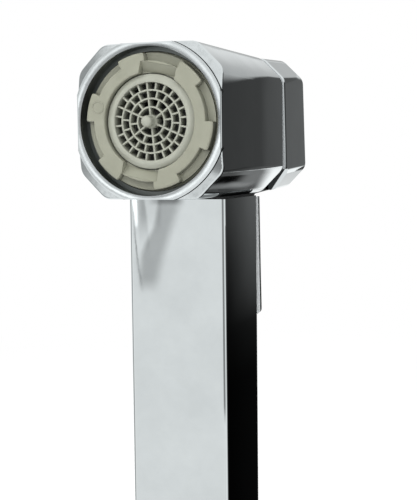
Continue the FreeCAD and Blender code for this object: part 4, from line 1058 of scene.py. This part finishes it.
# %% [markdown]
# ## Aerator ring
# The ring that screws the aerator into the mouth is the most telling piece of the picture: six teeth for the
# key, and two more pockets in its bore. One sixth of the ring, a tooth and half a notch on each side, is
# drawn as a grid whose depth follows from the distance to the tooth's outline, so that every edge is rounded
# by the same 0.28 mm as on the moulding. The tree turns it into six. The pockets and the outside thread
# don't repeat with the teeth, so they are pressed into the finished ring. The round mark of the mould is
# turned and joined on.

# %% Shape of a tooth
RING_BORE, RING_ROOT, RING_CAVITY = 9.65, 12.0, 11.3
TOOTH_OUTSIDE, RING_OUTSIDE = 13.6, 13.9
RING_FACE, RING_FLOOR, RING_REAR = 0.45, 2.3, 9.8
TOOTH_DEGREES, FIRST_TOOTH_DEGREES, TEETH = 25.5, 46.4, 6
MOULDED_EDGE = 0.28
TOOTH_END_EDGE = 0.5
TOOTH_CORNER = 0.35


def rounding(distance, radius):
    """How far a rounded edge has fallen at a distance inside its outline."""
    if distance >= radius:
        return 0.0
    return radius - math.sqrt(radius ** 2 - (radius - max(distance, 0.0)) ** 2)


def ring_depth(radius, degrees):
    """Depth of the ring's front for a tooth whose middle is at 0 degrees."""
    side = math.radians(TOOTH_DEGREES / 2 - abs(degrees)) * radius
    end = (TOOTH_OUTSIDE - radius) * MOULDED_EDGE / TOOTH_END_EDGE
    tooth = min(side, end)
    if side < TOOTH_CORNER and end < TOOTH_CORNER:
        tooth = TOOTH_CORNER - math.hypot(TOOTH_CORNER - side, TOOTH_CORNER - end)
    inside = max(tooth, RING_ROOT - radius)
    if inside > 0 or abs(radius - TOOTH_OUTSIDE) < 0.001 and side > TOOTH_CORNER:
        return RING_FACE + rounding(min(inside, radius - RING_BORE), MOULDED_EDGE)
    return RING_FLOOR


print("depth on a tooth and in a notch:", ring_depth(RING_ROOT, 0), ring_depth(RING_ROOT + 0.5, 30))

# %% One sixth of the ring, and the tree that makes six
REAR_CHAMFER = 0.2


def ring_columns():
    """Angles of one sixth of the ring, close together where the tooth's sides are."""
    edge, last = TOOTH_DEGREES / 2, 180 / TEETH
    half = evenly(0, edge - 1.3, 0.6)[:-1]
    half += [edge - gap for gap in (1.3, 0.95, 0.6, 0.33, 0.15, 0.05, -0.05)] + evenly(edge + 0.6, last, 0.9)
    return [-degrees for degrees in reversed(half[1:])] + half


def ring_radii():
    """Radii on the ring's front, close together where its edges are."""
    radii = [RING_BORE + gap for gap in (0, 0.005, 0.02, 0.06, 0.12, 0.2)]
    radii += evenly(RING_BORE + MOULDED_EDGE, RING_ROOT - MOULDED_EDGE, 0.1)[:-1]
    radii += [RING_ROOT - gap for gap in (MOULDED_EDGE, 0.2, 0.12, 0.06, 0.02, 0.004, -0.004)]
    radii += evenly(RING_ROOT + 0.1, TOOTH_OUTSIDE - 0.6, 0.2)[:-1]
    return radii + [TOOTH_OUTSIDE - gap for gap in (0.6, 0.5, 0.4, 0.3, 0.2, 0.12, 0.06, 0.02, 0.0)]


def ring_sector():
    """One sixth of the ring: rows from the bore over the face and down the outside to the rear."""
    angles = [math.radians(degrees) for degrees in ring_columns()]
    bore_front, outer_front = (
        [ring_depth(radius, degrees) for degrees in ring_columns()] for radius in (RING_BORE, TOOTH_OUTSIDE)
    )
    rows = []

    def add_row(radius, depths):
        places = zip(angles, depths)
        rows.append([(radius * math.cos(angle), radius * math.sin(angle), -depth) for angle, depth in places])

    for share in (0, 0.4, 0.75):
        add_row(RING_BORE, [RING_FLOOR + (depth - RING_FLOOR) * share for depth in bore_front])
    for radius in ring_radii():
        add_row(radius, [ring_depth(radius, degrees) for degrees in ring_columns()])
    for share in (0.3, 0.6, 1):
        add_row(TOOTH_OUTSIDE, [depth + (RING_FLOOR + 0.2 - depth) * share for depth in outer_front])
    outline = [(TOOTH_OUTSIDE, RING_FLOOR + 0.7)]
    outline += [(RING_OUTSIDE, depth) for depth in evenly(3.3, RING_REAR - REAR_CHAMFER, 0.1)]
    outline += [(RING_OUTSIDE - REAR_CHAMFER, RING_REAR), (RING_CAVITY, RING_REAR), (RING_CAVITY, RING_FLOOR)]
    for radius, depth in outline:
        add_row(radius, [depth] * len(angles))
    return grid_mesh("ring_sector", rows, round_axis=False)


def six_teeth_tree():
    """Tree that turns one sixth of the ring into the whole ring."""
    tree, given = new_tree("six_teeth", {"Geometry": "Geometry", "Teeth": "Int", "First Tooth": "Float"})
    copies = add_node(tree, "GeometryNodeGroup", {
        "Geometry": given["Geometry"], "Count": given["Teeth"], "First Angle": given["First Tooth"],
    }, node_tree=round_axis_tree)
    end_tree(tree, copies, ring_plastic)
    return tree


ring_mesh = grown(
    six_teeth_tree(), {"Teeth": TEETH, "First Tooth": math.radians(FIRST_TOOTH_DEGREES)}, ring_sector(),
)
print("ring faces:", len(ring_mesh.polygons))

# %% Pockets, thread and mark
POCKET_DEGREES, POCKET_HALF_WIDTH, POCKET_REACH = 78.5, 3.9, 11.55
POCKET_DEPTH, POCKET_SLOPE = 0.15, math.tan(math.radians(40))
POCKET_SNAP = 0.07
THREAD_PITCH, THREAD_DEPTH, THREAD_START, THREAD_END, THREAD_RUN_OUT = 1.0, 0.55, 3.4, 9.4, 0.5
MARK_DEGREES, MARK_PLACE, MARK_RADIUS = 164.6, 11.4, 1.2
MARK_WIDTH, MARK_HEIGHT, MARK_SINK = 0.22, 0.09, 0.1
RING_PLAY = 0.03


def thread_share(angle, radius, depth):
    """Share of its radius that a point of the outside keeps when the thread is cut."""
    phase = depth / THREAD_PITCH - angle / math.tau
    fade = min(1.0, (depth - THREAD_START) / THREAD_RUN_OUT, (THREAD_END - depth) / THREAD_RUN_OUT)
    return 1 - THREAD_DEPTH * fade * (0.5 - 0.5 * math.cos(math.tau * phase)) / radius


def in_pocket(across, up, depth, angle):
    """Point of the ring's front after the key pocket at an angle is pressed in."""
    outward = across * math.cos(angle) + up * math.sin(angle)
    aside = up * math.cos(angle) - across * math.sin(angle)
    to_end, to_side = POCKET_REACH - outward, POCKET_HALF_WIDTH - abs(aside)
    if outward <= 0:
        return across, up, depth
    if abs(min(to_end, to_side)) < POCKET_SNAP:
        if to_end < to_side:
            outward = POCKET_REACH
        else:
            aside = math.copysign(POCKET_HALF_WIDTH, aside)
        across = outward * math.cos(angle) - aside * math.sin(angle)
        up = outward * math.sin(angle) + aside * math.cos(angle)
    elif min(to_end, to_side) > 0:
        drop = POCKET_DEPTH + POCKET_SLOPE * to_end
        depth += drop * (RING_FLOOR - depth) / (RING_FLOOR - RING_FACE)
    return across, up, depth


def press_ring(mesh):
    """Presses the key pockets and the outside thread into the ring."""
    for vertex in mesh.vertices:
        across, up, front = (value * 1000 for value in vertex.co)
        radius, depth = math.hypot(across, up), -front
        if radius > RING_OUTSIDE - 0.01 and THREAD_START < depth < THREAD_END:
            share = thread_share(math.atan2(up, across), radius, depth)
            across, up = across * share, up * share
        if radius < RING_ROOT - 0.001 and depth < RING_FLOOR - 0.01:
            for degrees in (POCKET_DEGREES, POCKET_DEGREES + 180):
                across, up, depth = in_pocket(across, up, depth, math.radians(degrees))
        vertex.co = (mm(across), mm(up), mm(-depth))


def mould_mark():
    """Raised circle on one tooth."""
    inner, outer = MARK_RADIUS - MARK_WIDTH / 2, MARK_RADIUS + MARK_WIDTH / 2
    outline = [
        (inner, MARK_SINK, 0), (inner, -MARK_HEIGHT, MARK_HEIGHT), (outer, -MARK_HEIGHT, MARK_HEIGHT),
        (outer, MARK_SINK, 0),
    ]
    mesh = grid_mesh("mould_mark", turned(softened(outline), 48))
    angle = math.radians(MARK_DEGREES)
    place = Vector((MARK_PLACE * math.cos(angle), MARK_PLACE * math.sin(angle), -RING_FACE))
    mesh.transform(Matrix.Translation(place / 1000))
    return mesh


press_ring(ring_mesh)
ring_mesh = joined("aerator_key_ring_moulded", [ring_mesh, mould_mark()])
ring_mesh.transform(HEAD_TURN @ Matrix.Translation((-mm(RING_PLAY), 0, 0)))
ring = add_piece(ring_mesh, ring_plastic, "aerator_key_ring")
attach(ring, "handset")

# %% [markdown]
# ## Aerator grille
# The grille is a web of rings and spokes. Each band outwards has six more openings than the one inside it:
# 6, 12, 18 and 24, which makes 60. The tree bends one rounded bar into the rings and copies another for the
# spokes of each band. The spokes lie a hair deeper than the rings, as where moulded ribs cross. The rim, the
# flange behind it and the pin in the middle are turned.

# %% Aerator grille
GRILLE_BANDS, GRILLE_CELLS, FIRST_SPOKE_DEGREES = 4, 6, 36.0
GRILLE_HUB, GRILLE_RIM_INNER, GRILLE_RIM_CREST, GRILLE_RADIUS = 1.2, 7.75, 8.5, 9.4
FLANGE_RADIUS, FLANGE_FRONT, FLANGE_REAR = 11.1, 3.05, 4.55
PIN_RADIUS, PIN_FRONT, PIN_FOOT_RADIUS, PIN_REAR = 1.15, -1.4, 1.4, 3.6
BAR_WIDTH, BAR_LENGTH, BAR_FRONT, BAR_EDGE = 0.36, 2.2, 1.4, 0.09
SPOKE_SINK = 0.04
GRILLE_PLAY = 0.09


def grille_tree():
    """Tree that grows the rings and spokes of the grille."""
    tree, given = new_tree("grille_bars", {
        "Hub Radius": "Float", "Band Width": "Float", "Bar Width": "Float", "Bar Length": "Float",
        "Edge Radius": "Float", "First Spoke": "Float", "Cells": "Int",
    })
    section = add_node(tree, "GeometryNodeCurvePrimitiveQuadrilateral", {
        "Width": given["Bar Width"], "Height": given["Bar Length"],
    })
    bar = add_node(tree, "GeometryNodeFilletCurve", {
        "Curve": section, "Radius": given["Edge Radius"], "Count": 3,
    }, mode="POLY")
    parts = add_node(tree, "GeometryNodeJoinGeometry")
    for band in range(GRILLE_BANDS):
        inner = add_node(tree, "ShaderNodeMath", {
            0: given["Band Width"], 1: float(band), 2: given["Hub Radius"],
        }, operation="MULTIPLY_ADD")
        outer = add_node(tree, "ShaderNodeMath", {0: inner, 1: given["Band Width"]}, operation="ADD")
        line = add_node(tree, "GeometryNodeCurvePrimitiveLine", {
            "Start": add_node(tree, "ShaderNodeCombineXYZ", {"X": inner, "Z": -mm(SPOKE_SINK)}),
            "End": add_node(tree, "ShaderNodeCombineXYZ", {"X": outer, "Z": -mm(SPOKE_SINK)}),
        })
        upright = add_node(tree, "GeometryNodeSetCurveNormal", {"Curve": line}, mode="Z_UP")
        spoke = add_node(tree, "GeometryNodeCurveToMesh", {"Curve": upright, "Profile Curve": bar})
        cells = add_node(tree, "ShaderNodeMath", {0: given["Cells"], 1: band + 1.0}, operation="MULTIPLY")
        spokes = add_node(tree, "GeometryNodeGroup", {
            "Geometry": spoke, "Count": cells, "First Angle": given["First Spoke"],
        }, node_tree=round_axis_tree)
        if band < GRILLE_BANDS - 1:
            circle = add_node(tree, "GeometryNodeCurvePrimitiveCircle", {"Resolution": 144, "Radius": outer})
            ring_bar = add_node(tree, "GeometryNodeCurveToMesh", {"Curve": circle, "Profile Curve": bar})
            fill(tree, parts, {0: ring_bar})
        fill(tree, parts, {0: spokes})
    lower = add_node(tree, "ShaderNodeMath", {
        0: given["Bar Length"], 1: -0.5, 2: -mm(BAR_FRONT),
    }, operation="MULTIPLY_ADD")
    placed = add_node(tree, "GeometryNodeTransform", {
        "Geometry": parts, "Translation": add_node(tree, "ShaderNodeCombineXYZ", {"Z": lower}),
    })
    end_tree(tree, placed, grille_plastic)
    return tree


bars = grown(grille_tree(), {
    "Hub Radius": mm(GRILLE_HUB), "Bar Width": mm(BAR_WIDTH), "Bar Length": mm(BAR_LENGTH),
    "Band Width": mm((GRILLE_RIM_INNER + BAR_WIDTH / 2 - GRILLE_HUB) / GRILLE_BANDS),
    "Edge Radius": mm(BAR_EDGE), "First Spoke": math.radians(FIRST_SPOKE_DEGREES), "Cells": GRILLE_CELLS,
})
rim = grid_mesh("grille_rim", turned(softened([
    (GRILLE_RIM_INNER, 1.0, 0.2), (GRILLE_RIM_CREST, 1.0, 0.25), (GRILLE_RADIUS, 1.5, 0.1),
    (GRILLE_RADIUS, FLANGE_FRONT, 0.05), (FLANGE_RADIUS, FLANGE_FRONT, 0.1),
    (FLANGE_RADIUS, FLANGE_REAR, 0.1), (GRILLE_RIM_INNER, FLANGE_REAR, 0.1),
]), 192))
pin = grid_mesh("grille_pin", turned(softened([
    (0.0, PIN_FRONT, 0), (PIN_RADIUS, PIN_FRONT, 0.8), (PIN_RADIUS, 0.7, 0.3),
    (PIN_FOOT_RADIUS, 1.4, 0.15), (PIN_FOOT_RADIUS, PIN_REAR, 0), (0.0, PIN_REAR, 0),
], 6), 64), closed_profile=False)
reach = [round(max(abs(vertex.co[axis]) for vertex in bars.vertices) * 1000, 2) for axis in range(3)]
print("bars reach, in mm:", reach)
grille_mesh = joined("aerator_grille_moulded", [bars, rim, pin])
grille_mesh.transform(HEAD_TURN @ Matrix.Translation((mm(GRILLE_PLAY), 0, 0)))
grille = add_piece(grille_mesh, grille_plastic, "aerator_grille")
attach(grille, "handset")

# %% [markdown]
# ## Hose nipple
# The foot of the handle carries the G1/2 thread for the hose: 14 turns to the inch, so a pitch of 1.814 mm,
# and 20.955 mm across. The tree bends a ridge with rounded crest along a spiral and thins it out at both
# ends. It winds round a turned core, which runs into the square foot and the plug inside the handle.

# %% Hose nipple with its thread
HOSE_PITCH, HOSE_TOP_RADIUS, HOSE_ROOT_RADIUS, HOSE_TURNS = 1.814, 10.47, 9.32, 5.7
RIDGE_START, RIDGE_FLATNESS = 1.1, 0.52
RIDGE_RUN_OUT, RIDGE_END_SIZE = 0.5, 0.15
NIPPLE_COLUMNS = 160
BORE_RADIUS, TUBE_SEAT_RADIUS, TUBE_SEAT_HEIGHT = 5.0, 6.05, 6.45
THREAD_TOP, FOOT_TOP, PLUG_TOP = 12.5, 15.0, 21.0
PLUG_HALF, PLUG_CORNER = 9.1, 0.1


def wound(tree, section, radius, turns, climb, resolution, size=1.0):
    """Section that is swept upright along a spiral, with its size on the way."""
    spiral = add_node(tree, "GeometryNodeCurveSpiral", {
        "Resolution": resolution, "Rotations": turns, "Start Radius": radius, "End Radius": radius,
        "Height": climb,
    })
    upright = add_node(tree, "GeometryNodeSetCurveNormal", {"Curve": spiral}, mode="Z_UP")
    return add_node(tree, "GeometryNodeCurveToMesh", {
        "Curve": upright, "Profile Curve": section, "Scale": size, "Fill Caps": True,
    })


def thread_tree():
    """Tree that bends a rounded ridge along a spiral."""
    tree, given = new_tree("hose_thread", {
        "Root Radius": "Float", "Pitch": "Float", "Turns": "Float", "Ridge Height": "Float",
    })
    climb = add_node(tree, "ShaderNodeMath", {0: given["Pitch"], 1: given["Turns"]}, operation="MULTIPLY")
    way = add_node(tree, "GeometryNodeSplineParameter")
    done = add_node(tree, "ShaderNodeMath", {0: way, 1: given["Turns"]}, operation="MULTIPLY")
    left = add_node(tree, "ShaderNodeMath", {0: given["Turns"], 1: done}, operation="SUBTRACT")
    nearest_end = add_node(tree, "ShaderNodeMath", {0: done, 1: left}, operation="MINIMUM")
    size = add_node(tree, "ShaderNodeMapRange", {
        "Value": nearest_end, "From Max": RIDGE_RUN_OUT, "To Min": RIDGE_END_SIZE,
    })
    circle = add_node(tree, "GeometryNodeCurvePrimitiveCircle", {
        "Resolution": 12, "Radius": given["Ridge Height"],
    })
    ridge = add_node(tree, "GeometryNodeTransform", {"Geometry": circle, "Scale": (1.0, RIDGE_FLATNESS, 1.0)})
    end_tree(tree, wound(tree, ridge, given["Root Radius"], given["Turns"], climb, 72, size), bright_chrome)
    return tree


def round_row(radius, height):
    """Circle of points at a height."""
    return turned([(radius, -height)], NIPPLE_COLUMNS)[0]


def square_row(half, corner, height):
    """Square with rounded corners, as points at equal angles."""
    row, core = [], half - corner
    for across, up, _ in round_row(1.0, height):
        reach = half / max(abs(across), abs(up))
        if min(abs(reach * across), abs(reach * up)) > core:
            middle = core * (abs(across) + abs(up))
            reach = middle + math.sqrt(middle ** 2 - 2 * core ** 2 + corner ** 2)
        row.append((reach * across, reach * up, height))
    return row


ridge_mesh = grown(thread_tree(), {
    "Root Radius": mm(HOSE_ROOT_RADIUS), "Pitch": mm(HOSE_PITCH), "Turns": HOSE_TURNS,
    "Ridge Height": mm(HOSE_TOP_RADIUS - HOSE_ROOT_RADIUS),
})
ridge_mesh.transform(Matrix.Translation((0, 0, mm(RIDGE_START))))
core_mesh = grid_mesh("hose_core", [
    round_row(BORE_RADIUS, TUBE_SEAT_HEIGHT), round_row(BORE_RADIUS, 0.4), round_row(5.4, 0.0),
    round_row(8.7, 0.0), round_row(9.1, 0.15), round_row(HOSE_ROOT_RADIUS, 0.6),
    round_row(HOSE_ROOT_RADIUS, THREAD_TOP - 0.2), round_row(9.5, THREAD_TOP),
    square_row(10.7, 0.8, THREAD_TOP), square_row(10.91, 0.95, 12.59), square_row(HANDLE_HALF, 1.0, 12.8),
    square_row(HANDLE_HALF, 1.0, FOOT_TOP - 0.1), square_row(10.9, 0.95, FOOT_TOP),
    square_row(PLUG_HALF, PLUG_CORNER, FOOT_TOP), square_row(PLUG_HALF, PLUG_CORNER, PLUG_TOP),
    round_row(TUBE_SEAT_RADIUS, PLUG_TOP), round_row(TUBE_SEAT_RADIUS, TUBE_SEAT_HEIGHT),
])
crest = max(math.hypot(vertex.co.x, vertex.co.y) for vertex in ridge_mesh.vertices) * 1000
print("thread radius in mm:", round(crest, 3))
nipple_mesh = joined("hose_nipple_threaded", [core_mesh, ridge_mesh])
nipple = add_piece(nipple_mesh, bright_chrome, "hose_nipple")
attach(nipple, "handset")

# %% [markdown]
# ## Return spring
# A coil of steel wire behind the gland nut pushes the button and the valve's stem back when the lever is let
# go. It is 0.4 mm shorter when the lever is pressed. A tree sweeps the wire along a spiral, and the length
# comes from the box of the CAD spring.

# %% Return spring
SPRING_WIRE_RADIUS, SPRING_MEAN_RADIUS, SPRING_TURNS = 0.4, 4.3, 4.5


def spring_tree():
    """Tree that sweeps a round wire along a spiral."""
    tree, given = new_tree("coil_spring", {
        "Mean Radius": "Float", "Length": "Float", "Turns": "Float", "Wire Radius": "Float",
    })
    wire = add_node(tree, "GeometryNodeCurvePrimitiveCircle", {
        "Resolution": 12, "Radius": given["Wire Radius"],
    })
    end_tree(tree, wound(tree, wire, given["Mean Radius"], given["Turns"], given["Length"], 40), spring_wire)
    return tree


spring_low, spring_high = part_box("return_spring")
spring_front, spring_rear = spring_low[1] + mm(SPRING_WIRE_RADIUS), spring_high[1] - mm(SPRING_WIRE_RADIUS)
spring_mesh = joined("return_spring_coiled", [grown(spring_tree(), {
    "Mean Radius": mm(SPRING_MEAN_RADIUS), "Length": spring_rear - spring_front, "Turns": SPRING_TURNS,
    "Wire Radius": mm(SPRING_WIRE_RADIUS),
})])
spring_mesh.transform(HEAD_TURN @ Matrix.Translation((0, 0, mm(HEAD_FRONT) - spring_rear)))
spring = add_piece(spring_mesh, spring_wire, "return_spring")
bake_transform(spring)
print("spring length in mm:", round((spring_rear - spring_front) * 1000 + 2 * SPRING_WIRE_RADIUS, 2))

# %% [markdown]
# ## Finishes on the CAD pieces
# Pieces whose CAD shape is already right keep their mesh and only get a finish. Each name on the right is a
# piece of the real product.

# %% Give each CAD piece its finish
FINISHES = {
    head_chrome: ["head_body"],
    bright_chrome: ["handle_sleeve", "hose_nipple"],
    lever_chrome: ["trigger_lever"],
    ring_plastic: ["aerator_key_ring"],
    grille_plastic: ["aerator_grille"],
    hidden_plastic: ["thrust_button"],
    cell_shade_dark_plastic: ["aerator_diffuser"],
    bare_brass: ["gland_nut", "seal_disc_nut", "valve_sleeve", "water_tube"],
    stainless: ["aerator_filter_screen", "hinge_pin", "valve_stem"],
    spring_wire: ["return_spring"],
    black_rubber: [
        "aerator_washer", "valve_seal_disc",
        "valve_sleeve_o_rings", "valve_stem_o_ring", "water_tube_o_rings",
    ],
    black_nylon: ["sleeve_locator"],
}
for finish, names in FINISHES.items():
    for name in names:
        slots = nodes[name].data.materials
        slots.clear()
        slots.append(finish)
print("finished CAD pieces:", sum(len(names) for names in FINISHES.values()), "of", len(nodes))
